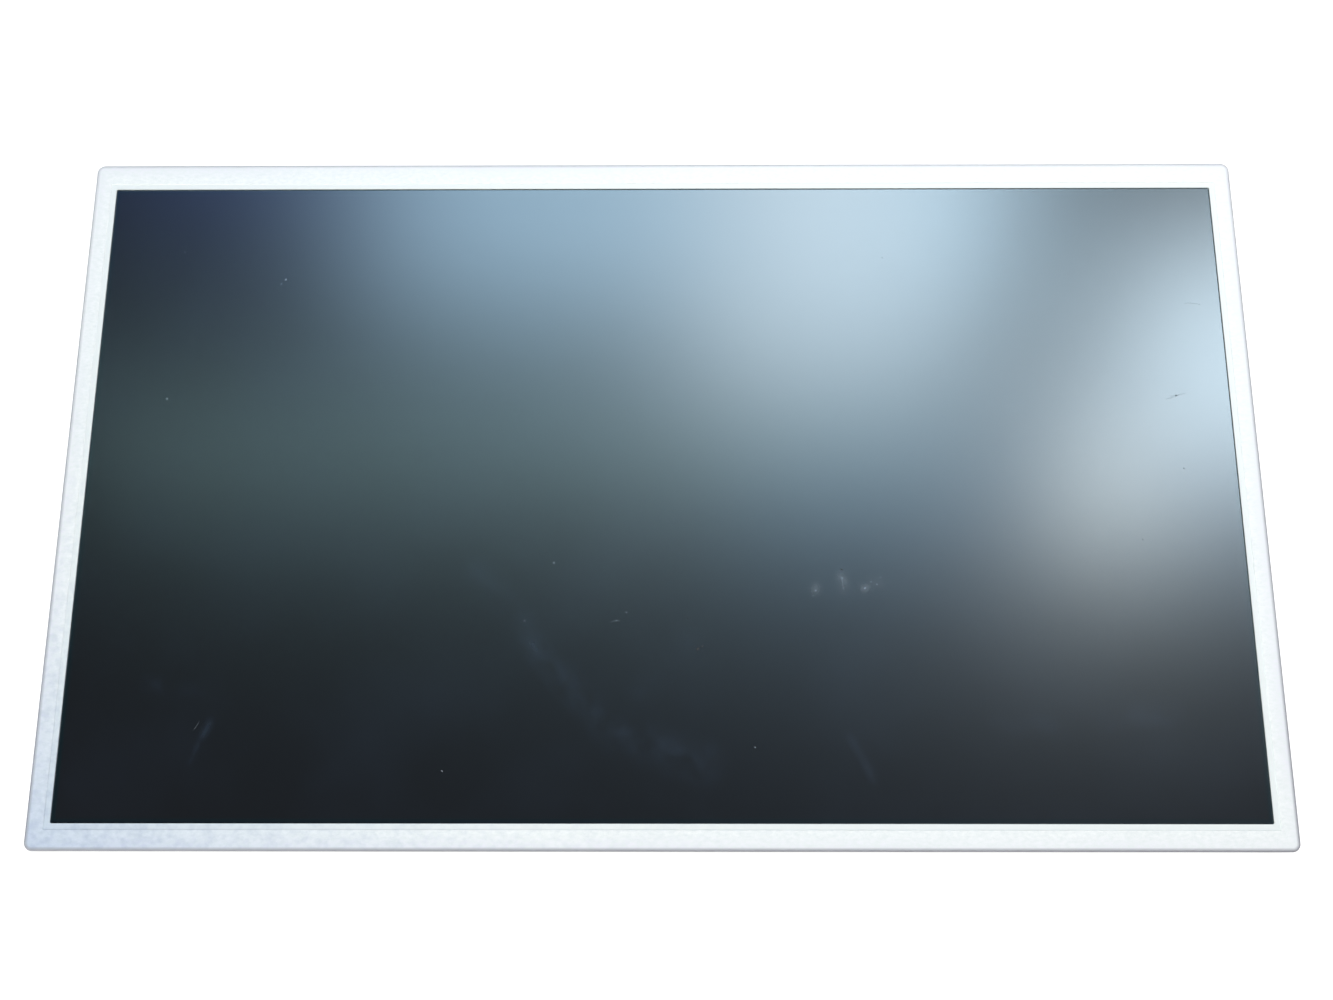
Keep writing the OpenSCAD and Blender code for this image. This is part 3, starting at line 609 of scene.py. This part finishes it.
def dotted_acrylic():
    """Clear acrylic with a printed dot pattern that shows as pale flecks."""
    constants = {"IOR": 1.49, "Transmission Weight": 0.9}
    finish = Finish("dotted_acrylic", (0.86, 0.95, 0.95), 0.06, constants)
    dots = finish.cells(1.2 * MM)
    clear = finish.fit(dots, 0.25, 0.3)
    finish.paint(finish.blend(clear, (0.95, 0.97, 0.97), (0.84, 0.94, 0.94)))
    return finish.polish(finish.fit(dots, 0.25, 0.3, 0.4, 0.05))


def moulded_plastic(name, colour, roughness=0.45):
    """Moulded plastic with a spark-eroded grain and slight flow clouds."""
    finish = Finish(name, colour, roughness)
    grain = finish.noise(0.12 * MM, detail=2.0)
    flow = finish.noise(14 * MM, detail=2.0, seed=2.0)
    finish.paint(finish.blend(flow, scaled(colour, 0.93), scaled(colour, 1.05)))
    finish.satin(grain, roughness - 0.07, roughness + 0.07)
    return finish.bump(grain, 0.006 * MM)


def foam():
    finish = Finish("foam", (0.018, 0.018, 0.019), 0.9)
    pores = finish.cells(0.25 * MM)
    finish.paint(finish.blend(pores, (0.006, 0.006, 0.006), (0.03, 0.03, 0.032)))
    return finish.bump(pores, 0.05 * MM)


def etched_flex():
    """Amber film over copper tracks that run along it."""
    finish = Finish("etched_flex", (0.42, 0.20, 0.04), 0.28)
    tracks = finish.math("PINGPONG", finish.axis("X"), 0.2 * MM)
    line = finish.fit(tracks, 0.09 * MM, 0.11 * MM)
    cloud = finish.noise(4 * MM)
    base = finish.blend(cloud, (0.36, 0.16, 0.03), (0.46, 0.24, 0.06))
    finish.paint(finish.blend(line, base, (0.62, 0.34, 0.12)))
    return finish.polish(finish.fit(line, 0.0, 1.0, 0.22, 0.34)).bump(line, 0.01 * MM)


def printed_board(name, resist, row_pitch, column_pitch):
    """Solder resist over tracks of the given pitches, with plated through-holes."""
    finish = Finish(name, resist, 0.3)
    patches = finish.cells(9 * MM, length=3.0, output="Color")
    # Each patch of the board has a value of its own, and runs its tracks along X or along Y
    patch = finish.node("SeparateXYZ", {0: patches}).outputs["X"]
    shifted = finish.plus(finish.axis("Y"), finish.times(patch, row_pitch))
    rows = finish.math("PINGPONG", shifted, row_pitch)
    columns = finish.math("PINGPONG", finish.axis("X"), column_pitch)
    row = finish.fit(rows, row_pitch * 0.55, row_pitch * 0.6)
    column = finish.fit(columns, column_pitch * 0.55, column_pitch * 0.6)
    track = finish.plus(
        finish.times(row, finish.fit(patch, 0.45, 0.5)),
        finish.times(column, finish.fit(patch, 0.5, 0.45)),
    )
    holes = finish.fit(finish.cells(3.1 * MM), 0.11, 0.09)
    colour = finish.blend(track, resist, scaled(resist, 1.9))
    finish.paint(finish.blend(holes, colour, (0.50, 0.44, 0.28)))
    return finish.polish(finish.fit(track, 0.0, 1.0, 0.34, 0.24)).bump(track, 0.03 * MM)


def chip_with_leads(lead_low, lead_high):
    """Black moulded body, with tinned leads between two heights."""
    finish = Finish("chip_with_leads", (0.012, 0.012, 0.013), 0.55)
    grain = finish.noise(0.1 * MM, detail=2.0)
    body = finish.blend(grain, (0.010, 0.010, 0.011), (0.020, 0.020, 0.022))
    height = finish.axis("Z")
    fade = 0.02 * MM
    lead = finish.times(
        finish.fit(height, lead_low - fade, lead_low),
        finish.fit(height, lead_high, lead_high - fade),
    )
    finish.paint(finish.blend(lead, body, (0.55, 0.55, 0.53)))
    finish.polish(finish.fit(lead, 0.0, 1.0, 0.55, 0.28))
    return finish.bump(grain, 0.008 * MM)


def tinned_capacitor(pitch, body_half):
    """Tan ceramic with tinned ends. The capacitors repeat along X at one pitch."""
    finish = Finish("tinned_capacitor", (0.36, 0.25, 0.14), 0.4)
    from_centre = finish.math("PINGPONG", finish.axis("X"), pitch / 2)
    tinned = finish.fit(from_centre, body_half - 0.03 * MM, body_half)
    grain = finish.noise(0.2 * MM)
    body = finish.blend(grain, (0.30, 0.20, 0.11), (0.42, 0.30, 0.18))
    finish.paint(finish.blend(tinned, body, (0.58, 0.58, 0.56)))
    return finish.polish(finish.fit(tinned, 0.0, 1.0, 0.45, 0.28)).bump(grain, 0.008 * MM)


def gold_contact():
    finish = Finish("gold_contact", (0.80, 0.58, 0.22), 0.25, {"Metallic": 1.0})
    wear = finish.noise(0.2 * MM)
    finish.paint(finish.blend(wear, (0.72, 0.50, 0.18), (0.86, 0.64, 0.28)))
    return finish.satin(wear, 0.2, 0.34)


def phosphor_gel():
    finish = Finish("phosphor_gel", (0.78, 0.58, 0.06), 0.3)
    grain = finish.noise(0.1 * MM)
    finish.paint(finish.blend(grain, (0.70, 0.50, 0.04), (0.84, 0.66, 0.10)))
    return finish.bump(grain, 0.01 * MM)


def lint(name, colour):
    finish = Finish(name, colour, 0.8)
    tone = finish.noise(0.3 * MM)
    return finish.paint(finish.blend(tone, scaled(colour, 0.75), scaled(colour, 1.25)))


# Fine pieces

# Rounding of a screw's head against its height, and its lead-in against the shank's radius
CROWN = 0.62
LEAD_IN, LEAD_IN_TAPER = 0.4, 0.7
# Half length of a recess's arm against the head's radius, and half width against half length
RECESS_ARM, RECESS_SLOT, RECESS_TAPER = 0.56, 0.24, 0.45
# A crumb of dust against its width: how ragged, what shape and how far above the film
CRUMB_RAGGED = 0.15
CRUMB_SHAPE = (1.0, 0.62, 0.14)
CRUMB_LIFT = 0.06
# Each crumb lies at its own angle, in radians for each metre of its place
CRUMB_TURN = 90.0


def model_screw(name, head_radius, head_height, shank_radius, shank_length):
    """Pan head with a cross recess. The seat is at z = 0 and the shank points along +Z."""
    clear_selection()
    bpy.ops.mesh.primitive_cylinder_add(
        vertices=48, radius=head_radius, depth=head_height, location=(0, 0, -head_height / 2)
    )
    screw = settle(name)
    select_faces(screw, facing(z=-1))
    bpy.ops.mesh.bevel(offset=head_height * CROWN, segments=6, affect="EDGES")
    select_faces(screw, facing(z=1))
    bpy.ops.mesh.inset(thickness=head_radius - shank_radius)
    lead_in = shank_radius * LEAD_IN
    extrude((0, 0, shank_length - lead_in))
    extrude((0, 0, lead_in))
    bpy.ops.transform.resize(value=(LEAD_IN_TAPER, LEAD_IN_TAPER, 1.0))
    leave_edit()
    arm = head_radius * RECESS_ARM
    slot = arm * RECESS_SLOT
    for half_x, half_y in ((arm, slot), (slot, arm)):
        cut(screw, recess_cutter(half_x, half_y, -head_height))
    select_only(screw)
    bpy.ops.object.shade_smooth_by_angle(angle=SHARP_ANGLE)
    return screw


def recess_cutter(half_x, half_y, head_top):
    """Tapered arm of the cross recess, sunk into the head from its top."""
    depth = bpy.context.scene.panel_sizes.recess_depth
    low = (-half_x, -half_y, head_top - 0.2 * MM)
    cutter = box_piece("recess", low, (half_x, half_y, head_top + depth))
    select_faces(cutter, facing(z=1))
    bpy.ops.transform.resize(value=(RECESS_TAPER, RECESS_TAPER, 1.0))
    leave_edit()
    return cutter


def socket_body(name, low, high, mouth_side, wall, depth):
    """Moulded shell with a mouth that opens along -Y or +Y."""
    body = box_piece(name, low, high)
    select_faces(body, facing(y=mouth_side))
    bpy.ops.mesh.inset(thickness=wall)
    extrude((0, -mouth_side * depth, 0))
    leave_edit()
    apply_modifier(
        body, "BEVEL", width=bpy.context.scene.panel_sizes.edge_round, segments=2,
        limit_method="ANGLE", angle_limit=SHARP_ANGLE,
    )
    return body


def contact_blade(name, width, y_tip, y_root, y_foot, z_blade, thickness, z_foot):
    """Contact: a blade in the mouth, and a leg behind the body that steps up to the board."""
    low = (-width / 2, min(y_tip, y_root), z_blade)
    high = (width / 2, max(y_tip, y_root), z_blade + thickness)
    blade = box_piece(name, low, high)
    out = 1 if y_foot > y_root else -1
    third = abs(y_foot - y_root) / 3
    select_faces(blade, facing(y=out))
    extrude((0, out * third * 0.5, 0))
    extrude((0, out * third, z_foot - z_blade))
    extrude((0, out * third * 1.5, 0))
    select_faces(blade, facing(y=-out))
    bpy.ops.transform.resize(value=(0.6, 1.0, 0.5))
    leave_edit()
    return blade


def fleck(name, x, y, width, seed):
    """Flat ragged crumb of dust that lies on the film, longer one way than the other."""
    clear_selection()
    bpy.ops.mesh.primitive_ico_sphere_add(subdivisions=2, radius=width / 2)
    crumb = bpy.context.object
    edit_all()
    bpy.ops.transform.vertex_random(offset=width * CRUMB_RAGGED, seed=seed)
    leave_edit()
    crumb.scale = CRUMB_SHAPE
    crumb.rotation_euler.z = (x - y) * CRUMB_TURN
    crumb.location = (x, y, FILM_TOP + width * CRUMB_LIFT)
    return settle(name)


def fibre(name, points, thickness):
    """Curved lint fibre that lies on the film, through points in millimetres."""
    curve = bpy.data.curves.new(name, "CURVE")
    curve.dimensions = "3D"
    curve.bevel_depth = thickness / 2
    curve.bevel_resolution = 1
    curve.resolution_u = 6
    curve.use_fill_caps = True
    spline = curve.splines.new("NURBS")
    spline.points.add(len(points) - 1)
    for point, (x, y) in zip(spline.points, points):
        point.co = (x * MM, y * MM, FILM_TOP + thickness / 2, 1.0)
    spline.use_endpoint_u = True
    spline.order_u = 3
    thread = bpy.data.objects.new(name, curve)
    bpy.context.collection.objects.link(thread)
    select_only(thread)
    bpy.ops.object.convert(target="MESH")
    # The end caps are welded on, and all faces turned outward
    edit_all()
    bpy.ops.mesh.remove_doubles(threshold=thickness / 100)
    bpy.ops.mesh.normals_make_consistent(inside=False)
    leave_edit()
    return bpy.context.object


# Operators


class PanelStep:
    """What all the module's operators share."""

    bl_options = {"REGISTER", "UNDO"}


class PANEL_OT_bezel(PanelStep, bpy.types.Operator):
    """Dress the drawn steel bezel"""

    bl_idname = "lcd_panel.bezel"
    bl_label = "Bezel"

    def execute(self, context):
        dress(zinc_bezel(context.scene.panel_finishes), "front_bezel")
        return {"FINISHED"}


class PANEL_OT_screen(PanelStep, bpy.types.Operator):
    """Dress the anti-glare film that is the screen's surface"""

    bl_idname = "lcd_panel.screen"
    bl_label = "Screen"

    # How far the film reaches under the bezel's lip
    UNDER_LIP = (2.6 * MM, 2.6 * MM, 0.0)

    def execute(self, context):
        reach = Vector(self.UNDER_LIP)
        low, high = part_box("front_polarizer")
        film = anti_glare_film(context.scene.panel_finishes, low + reach, high - reach)
        dress(film, "front_polarizer")
        return {"FINISHED"}


class PANEL_OT_screen_dust(PanelStep, bpy.types.Operator):
    """Lay the dust flecks and lint fibres on the screen"""

    bl_idname = "lcd_panel.screen_dust"
    bl_label = "Screen dust"

    # Crumbs: x and y in millimetres, and width against the fleck size
    PALE_CRUMBS = (
        (58.6, -40.3, 0.8), (68.9, -35.5, 0.6), (77.3, -39.4, 1.1), (79.7, -36.9, 0.5),
        (81.9, -38.0, 0.7), (83.4, -35.2, 0.5), (57.6, -42.3, 0.5), (-40.8, -29.6, 1.1),
        (-51.4, -51.8, 0.8), (-16.8, -51.7, 0.8), (-13.0, -48.6, 0.8), (-150.9, 86.1, 1.3),
        (-152.6, 84.2, 0.7), (-194.3, 36.0, 1.1), (-80.3, -107.4, 1.2), (34.8, -98.7, 1.0),
        (-192.6, 98.0, 0.6), (-186.0, 60.5, 0.5),
    )
    DARK_CRUMBS = (
        (13.9, -62.4, 2.2), (15.6, -61.5, 1.4), (10.1, -50.9, 1.0), (68.7, -32.2, 1.5),
        (201.6, 36.9, 1.3), (183.8, -20.7, 1.0), (202.0, 7.4, 0.9), (88.8, 95.1, 0.9),
    )
    # Lint fibres, as points along each in millimetres
    PALE_FIBRES = (
        ((68.2, -35.0), (69.0, -36.8), (68.8, -38.6), (69.4, -40.2)),
        ((-173.0, -92.4), (-171.8, -90.9), (-171.2, -89.2)),
        ((-18.8, -52.4), (-16.9, -51.5), (-15.4, -51.9)),
    )
    DARK_FIBRES = (
        ((197.5, 35.5), (200.0, 35.9), (203.0, 37.2), (205.6, 38.0)),
        ((199.2, 36.8), (201.2, 36.3), (203.8, 38.0)),
        ((208.4, 75.4), (211.4, 75.8), (214.6, 74.8)),
    )
    # Thickness of the dark fibres against the pale ones
    DARK_FIBRE_GAIN = 1.3

    def execute(self, context):
        thin = context.scene.panel_sizes.fibre
        pale = self.dirt(context, self.PALE_CRUMBS, self.PALE_FIBRES, thin)
        pale_finish = lint("pale_lint", (0.24, 0.28, 0.32))
        add_piece(join("screen_dust", *pale), pale_finish, "screen_film")
        coarse = thin * self.DARK_FIBRE_GAIN
        dark = self.dirt(context, self.DARK_CRUMBS, self.DARK_FIBRES, coarse)
        dark_finish = lint("dark_grit", (0.030, 0.032, 0.034))
        add_piece(join("screen_grit", *dark), dark_finish, "screen_film")
        return {"FINISHED"}

    def dirt(self, context, crumbs, fibres, thickness):
        width = context.scene.panel_sizes.fleck
        made = [
            fleck("crumb", x * MM, y * MM, width * size, seed)
            for seed, (x, y, size) in enumerate(crumbs, 1)
        ]
        return made + [fibre("thread", points, thickness) for points in fibres]


class PANEL_OT_cell(PanelStep, bpy.types.Operator):
    """Dress the glass plates and the rear polarizer"""

    bl_idname = "lcd_panel.cell"
    bl_label = "Liquid crystal cell"

    def execute(self, context):
        dress(plate_glass(), "front_glass", "rear_glass")
        dress(film_sheet("polarizer_sheet", (0.10, 0.10, 0.105), 0.35), "rear_polarizer")
        return {"FINISHED"}


class PANEL_OT_backlight(PanelStep, bpy.types.Operator):
    """Dress the sheets, the light guide and the light bar"""

    bl_idname = "lcd_panel.backlight"
    bl_label = "Backlight"

    RIB_PITCH = 0.05 * MM

    def execute(self, context):
        frosted = film_sheet("frosted_sheet", (0.84, 0.84, 0.84), 0.6)
        dress(frosted, "upper_diffuser", "lower_diffuser")
        ribbed = film_sheet("ribbed_sheet", (0.80, 0.83, 0.85), 0.2, rib=self.RIB_PITCH)
        dress(ribbed, "prism_sheet")
        dress(dotted_acrylic(), "light_guide")
        dress(film_sheet("white_sheet", (0.88, 0.88, 0.88), 0.3), "reflector_sheet")
        strip = printed_board("led_board_coat", (0.80, 0.80, 0.78), 0.8 * MM, 3.0 * MM)
        dress(strip, "led_board")
        dress(moulded_plastic("diode_moulding", (0.82, 0.82, 0.80), 0.3), "led_bodies")
        dress(phosphor_gel(), "led_phosphor")
        dress(mill_aluminium(), "led_heat_sink")
        dress(moulded_plastic("soft_rubber", (0.10, 0.10, 0.10), 0.75), "light_guide_pads")
        return {"FINISHED"}


class PANEL_OT_frame(PanelStep, bpy.types.Operator):
    """Dress the moulded frame and its cushion tape"""

    bl_idname = "lcd_panel.frame"
    bl_label = "Moulded frame"

    def execute(self, context):
        moulding = moulded_plastic("frame_moulding", context.scene.panel_finishes.moulding)
        dress(moulding, "panel_frame")
        dress(foam(), "cushion_tape")
        return {"FINISHED"}


class PANEL_OT_back(PanelStep, bpy.types.Operator):
    """Dress the back cover and the board shield"""

    bl_idname = "lcd_panel.back"
    bl_label = "Back cover and shield"

    def execute(self, context):
        looks = context.scene.panel_finishes
        dress(zinc_cover(looks), "back_cover")
        dress(tin_shield(looks), "board_shield")
        return {"FINISHED"}


class PANEL_OT_board(PanelStep, bpy.types.Operator):
    """Dress the driver board, its films and its parts"""

    bl_idname = "lcd_panel.board"
    bl_label = "Driver board"

    CAPACITOR_PITCH = 20 * MM
    # From a capacitor's middle to where its tinned end starts
    CAPACITOR_HALF = 0.6 * MM
    # How far a chip's tinned leads show below the board's face, and how far past it
    LEAD_BELOW = 0.15 * MM
    LEAD_ABOVE = 0.1 * MM
    FILMS = tuple(f"driver_film_{number}" for number in range(1, 7))

    def execute(self, context):
        resist = context.scene.panel_finishes.solder_resist
        dress(printed_board("driver_board_coat", resist, 0.5 * MM, 0.7 * MM), "driver_board")
        dress(etched_flex(), "led_flex_tail", *self.FILMS)
        leads = chip_with_leads(BOARD_FACE - self.LEAD_BELOW, BOARD_FACE + self.LEAD_ABOVE)
        dress(leads, "timing_chip", "power_chip", "memory_chip")
        dress(moulded_plastic("chip_moulding", (0.014, 0.014, 0.016), 0.4), "driver_chips")
        dress(moulded_plastic("ferrite", (0.055, 0.055, 0.058), 0.6), "power_coil")
        dress(tinned_capacitor(self.CAPACITOR_PITCH, self.CAPACITOR_HALF), "board_capacitors")
        insulator = moulded_plastic("insulator_film", (0.012, 0.012, 0.013), 0.35)
        dress(insulator, "board_insulator", "flex_tape")
        return {"FINISHED"}


class PANEL_OT_sockets(PanelStep, bpy.types.Operator):
    """Model the signal socket and the light bar's socket with their contacts"""

    bl_idname = "lcd_panel.sockets"
    bl_label = "Sockets"

    # Socket and its node, side of the mouth along Y, wall and depth of the mouth, then contacts
    # and their node, count, and pitch, width, thickness and room before the tip, in millimetres
    SETS = (
        ("signal_socket", "signal_connector", -1, (0.32, 3.9),
         "signal_blades", "signal_contacts", 30, (1.0, 0.3, 0.18, 0.4)),
        ("light_bar_socket", "led_connector", 1, (0.35, 4.8),
         "light_bar_blades", "led_connector_pins", 6, (1.25, 0.4, 0.3, 0.5)),
    )
    # A contact's root is this far inside the socket's back, and its foot this far outside
    ROOT_INSET = 0.4 * MM
    FOOT_REACH = 0.9 * MM

    def execute(self, context):
        ivory = moulded_plastic("socket_moulding", (0.70, 0.63, 0.47), 0.4)
        gold = gold_contact()
        for name, node, side, mouth_sizes, blades, blades_node, count, sizes in self.SETS:
            low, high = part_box(node)
            body = socket_body(name, low, high, side, *(size * MM for size in mouth_sizes))
            add_piece(body, ivory, "socket_ivory", node)
            pitch, width, thickness, tip_room = (size * MM for size in sizes)
            mouth, back = (high.y, low.y) if side > 0 else (low.y, high.y)
            blade = contact_blade(
                blades, width, mouth - side * tip_room, back + side * self.ROOT_INSET,
                back - side * self.FOOT_REACH, (low.z + high.z) / 2, thickness,
                high.z - thickness,
            )
            centre_x = (low.x + high.x) / 2
            steps = [index - (count - 1) / 2 for index in range(count)]
            contacts = copies(blade, [(centre_x + step * pitch, 0, 0) for step in steps])
            add_piece(contacts, gold, "contact_gold", blades_node)
        return {"FINISHED"}


class PANEL_OT_screws(PanelStep, bpy.types.Operator):
    """Model the screws with a cross recess"""

    bl_idname = "lcd_panel.screws"
    bl_label = "Screws"

    # Piece, node, x of each screw, head radius, head height, shank radius, all in millimetres
    SETS = (
        ("shield_pan_screws", "shield_screws", (-152, 8, 152), 2.0, 0.8, 1.0),
        ("bezel_pan_screws", "bezel_screws", (-200, 200), 2.2, 0.9, 0.8),
        ("heat_sink_pan_screws", "heat_sink_screws", (-180, -90, 0, 90, 180), 2.1, 0.7, 1.0),
    )

    def execute(self, context):
        zinc = plated_screw()
        for name, node, along, *sizes in self.SETS:
            head_radius, head_height, shank_radius = (size * MM for size in sizes)
            low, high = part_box(node)
            seat = low.z + head_height
            screw = model_screw(name, head_radius, head_height, shank_radius, high.z - seat)
            centre_y = (low.y + high.y) / 2
            group = copies(screw, [(x * MM, centre_y, seat) for x in along])
            add_piece(group, zinc, "screw_steel", node)
        return {"FINISHED"}


class PANEL_OT_stage(PanelStep, bpy.types.Operator):
    """Set the camera, the lamps, the pale floor and the dim room"""

    bl_idname = "lcd_panel.stage"
    bl_label = "Stage"

    SENSOR_WIDTH = 36.0
    LAMP_HEIGHT = 1.5
    # The floor lies this far under the panel's back
    FLOOR_GAP = 0.05 * MM
    # Gloss that meets the floor this near is on the panel's underside, and looks through the floor
    UNDER_PANEL = 20 * MM
    # Distances from the panel's middle between which the floor's own glow rises to white
    WHITE_FROM, WHITE_TO = 0.45, 1.3
    # Heights of a direction, 1 straight up, between which the room goes from white to dim
    DIM_ABOVE, WHITE_BELOW = 0.50, 0.20
    # The same far below the horizon, where the share of white sinks to a quarter
    DEEP, SHALLOW, DEEP_SHARE = -0.95, -0.25, 0.25
    # Ceiling lamps: name, left, right, near and far edge in metres, and brightness in red, green
    # and blue
    CEILING = (
        ("window_left", -0.485, 0.088, 0.679, 1.110, (6.11, 7.23, 8.30)),
        ("window_middle", 0.039, 0.450, 0.527, 1.259, (9.75, 9.08, 9.07)),
        ("window_right", 0.403, 0.492, 0.706, 1.097, (27.8, 32.9, 37.0)),
        ("door_near", 0.630, 0.729, 0.269, 0.473, (31.5, 26.3, 23.0)),
        ("door_far", 0.748, 1.215, 0.424, 0.777, (16.9, 16.3, 16.5)),
        ("wall_strip", -0.923, 0.468, 0.418, 0.463, (6.17, 8.00, 7.30)),
        ("wall_left", -0.895, -0.372, 0.881, 1.236, (0.02, 0.15, 1.42)),
        ("wall_right", 0.120, 1.074, 0.288, 0.500, (0.33, 0.90, 1.73)),
    )
    # Soft fill, each turned to the panel: name, place, width, height and brightness
    FILL = (
        ("fill_left", (-0.65, -1.0, 0.6), 1.3, 0.8, (4.15, 4.10, 3.90)),
        ("fill_right", (0.9, -1.1, 0.7), 1.3, 1.0, (0.98, 0.90, 0.76)),
        ("fill_low", (-1.4, -0.5, 0.5), 1.2, 0.8, (0.70, 0.70, 0.66)),
        ("under_left", (-0.9, 0.6, -1.0), 1.2, 1.0, (2.6, 2.6, 2.6)),
        ("under_right", (0.9, -0.7, -1.1), 1.2, 1.0, (1.7, 1.7, 1.7)),
    )

    def execute(self, context):
        scene = context.scene
        stage = scene.panel_stage
        self.camera(scene, stage)
        self.lamps(stage)
        self.floor(stage)
        self.room(scene, stage)
        scene.view_settings.view_transform = "Standard"
        return {"FINISHED"}

    def camera(self, scene, stage):
        clear_selection()
        turn = [math.radians(angle) for angle in stage.camera_turn]
        bpy.ops.object.camera_add(location=stage.camera_place, rotation=turn)
        camera = bpy.context.object
        camera.name = "photo_view"
        camera.data.sensor_width = self.SENSOR_WIDTH
        camera.data.lens = stage.camera_lens
        camera.data.clip_start = 10 * MM
        scene.camera = camera

    def lamps(self, stage):
        for name, left, right, near, far, brightness in self.CEILING:
            place = ((left + right) / 2, (near + far) / 2, self.LAMP_HEIGHT)
            self.lamp(name, place, (0, 0, 0), right - left, far - near, brightness, stage)
        for name, place, width, height, brightness in self.FILL:
            turn = Vector(place).to_track_quat("Z", "Y").to_euler()
            self.lamp(name, place, turn, width, height, brightness, stage)

    def lamp(self, name, place, turn, width, height, brightness, stage):
        """Rectangular lamp of an even brightness, out of the camera's sight."""
        clear_selection()
        bpy.ops.object.light_add(type="AREA", location=place, rotation=turn)
        lamp = bpy.context.object
        lamp.name = name
        lamp.visible_camera = False
        level = max(brightness)
        lamp.data.shape = "RECTANGLE"
        lamp.data.size = width
        lamp.data.size_y = height
        lamp.data.color = [channel / level for channel in brightness]
        lamp.data.energy = level * stage.lamp_gain * math.pi * width * height

    def floor(self, stage):
        """Pale floor that glows by itself, more so far from the panel, and is clear from below."""
        clear_selection()
        bpy.ops.mesh.primitive_plane_add(size=stage.floor_size, location=(0, 0, -self.FLOOR_GAP))
        floor = settle("studio_floor")
        colour = stage.floor_colour
        finish = Finish("studio_floor", colour, 0.9, {"Specular IOR Level": 0.0})
        grain = finish.noise(20 * MM, detail=2.0)
        finish.paint(finish.blend(grain, scaled(colour, 0.99), scaled(colour, 1.01)))
        away = finish.vector_math("LENGTH", {0: finish.place}, "Value")
        white = finish.fit(away, self.WHITE_FROM, self.WHITE_TO, stage.floor_glow, 1.0)
        level = finish.times(white, finish.shown_to(stage.mirrored_glow))
        glow = finish.node("Emission", {"Strength": level})
        shaders = {0: finish.shader.outputs[0], 1: glow.outputs[0]}
        lit = finish.node("AddShader", shaders)
        paths = finish.node("LightPath").outputs
        under = finish.node("NewGeometry").outputs["Backfacing"]
        close = finish.math("LESS_THAN", paths["Ray Length"], self.UNDER_PANEL)
        close = finish.times(close, paths["Is Glossy Ray"])
        clear = finish.larger(finish.larger(under, paths["Is Shadow Ray"]), close)
        empty = finish.node("BsdfTransparent")
        shaders = {0: clear, 1: lit.outputs[0], 2: empty.outputs[0]}
        both = finish.node("MixShader", shaders)
        surface = finish.tree.nodes["Material Output"].inputs["Surface"]
        finish.tree.links.new(both.outputs[0], surface)
        floor.data.materials.append(finish.material)

    def room(self, scene, stage):
        """White for the camera all round, and for gloss near the horizon. Dim above for all."""
        world = bpy.data.worlds.new("studio_room")
        scene.world = world
        world.use_nodes = True
        room = Nodes(world.node_tree)
        place = room.node("TexCoord").outputs["Generated"]
        height = room.node("SeparateXYZ", {0: place}).outputs["Z"]
        low = room.fit(height, self.DIM_ABOVE, self.WHITE_BELOW)
        deep = room.fit(height, self.DEEP, self.SHALLOW, self.DEEP_SHARE)
        share = room.shown_to(room.times(low, deep))
        background = room.tree.nodes["Background"]
        room.tree.links.new(room.blend(share, stage.ceiling, WHITE), background.inputs["Color"])


OPERATORS = (
    PANEL_OT_bezel,
    PANEL_OT_screen,
    PANEL_OT_screen_dust,
    PANEL_OT_cell,
    PANEL_OT_backlight,
    PANEL_OT_frame,
    PANEL_OT_back,
    PANEL_OT_board,
    PANEL_OT_sockets,
    PANEL_OT_screws,
    PANEL_OT_stage,
)
SETTINGS = (
    ("panel_finishes", PanelFinishes),
    ("panel_sizes", PanelSizes),
    ("panel_stage", PanelStage),
)


class PANEL_PT_lcd_panel(bpy.types.Panel):
    """Lists the module's operators and settings"""

    bl_idname = "PANEL_PT_lcd_panel"
    bl_label = "LCD Panel"
    bl_space_type = "VIEW_3D"
    bl_region_type = "UI"
    bl_category = "LCD Panel"

    def draw(self, context):
        for operator in OPERATORS:
            self.layout.operator(operator.bl_idname)
        for name, settings in SETTINGS:
            column = self.layout.column(align=True)
            for key in settings.__annotations__:
                column.prop(getattr(context.scene, name), key)


def register():
    for name, settings in SETTINGS:
        bpy.utils.register_class(settings)
        setattr(bpy.types.Scene, name, bpy.props.PointerProperty(type=settings))
    for operator in OPERATORS:
        bpy.utils.register_class(operator)
    bpy.utils.register_class(PANEL_PT_lcd_panel)


def unregister():
    bpy.utils.unregister_class(PANEL_PT_lcd_panel)
    for operator in reversed(OPERATORS):
        bpy.utils.unregister_class(operator)
    for name, settings in reversed(SETTINGS):
        delattr(bpy.types.Scene, name)
        bpy.utils.unregister_class(settings)


def run(operator):
    group, name = operator.bl_idname.split(".")
    getattr(getattr(bpy.ops, group), name)()


def main():
    register()
    for operator in OPERATORS:
        run(operator)


if __name__ == "__main__":
    main()
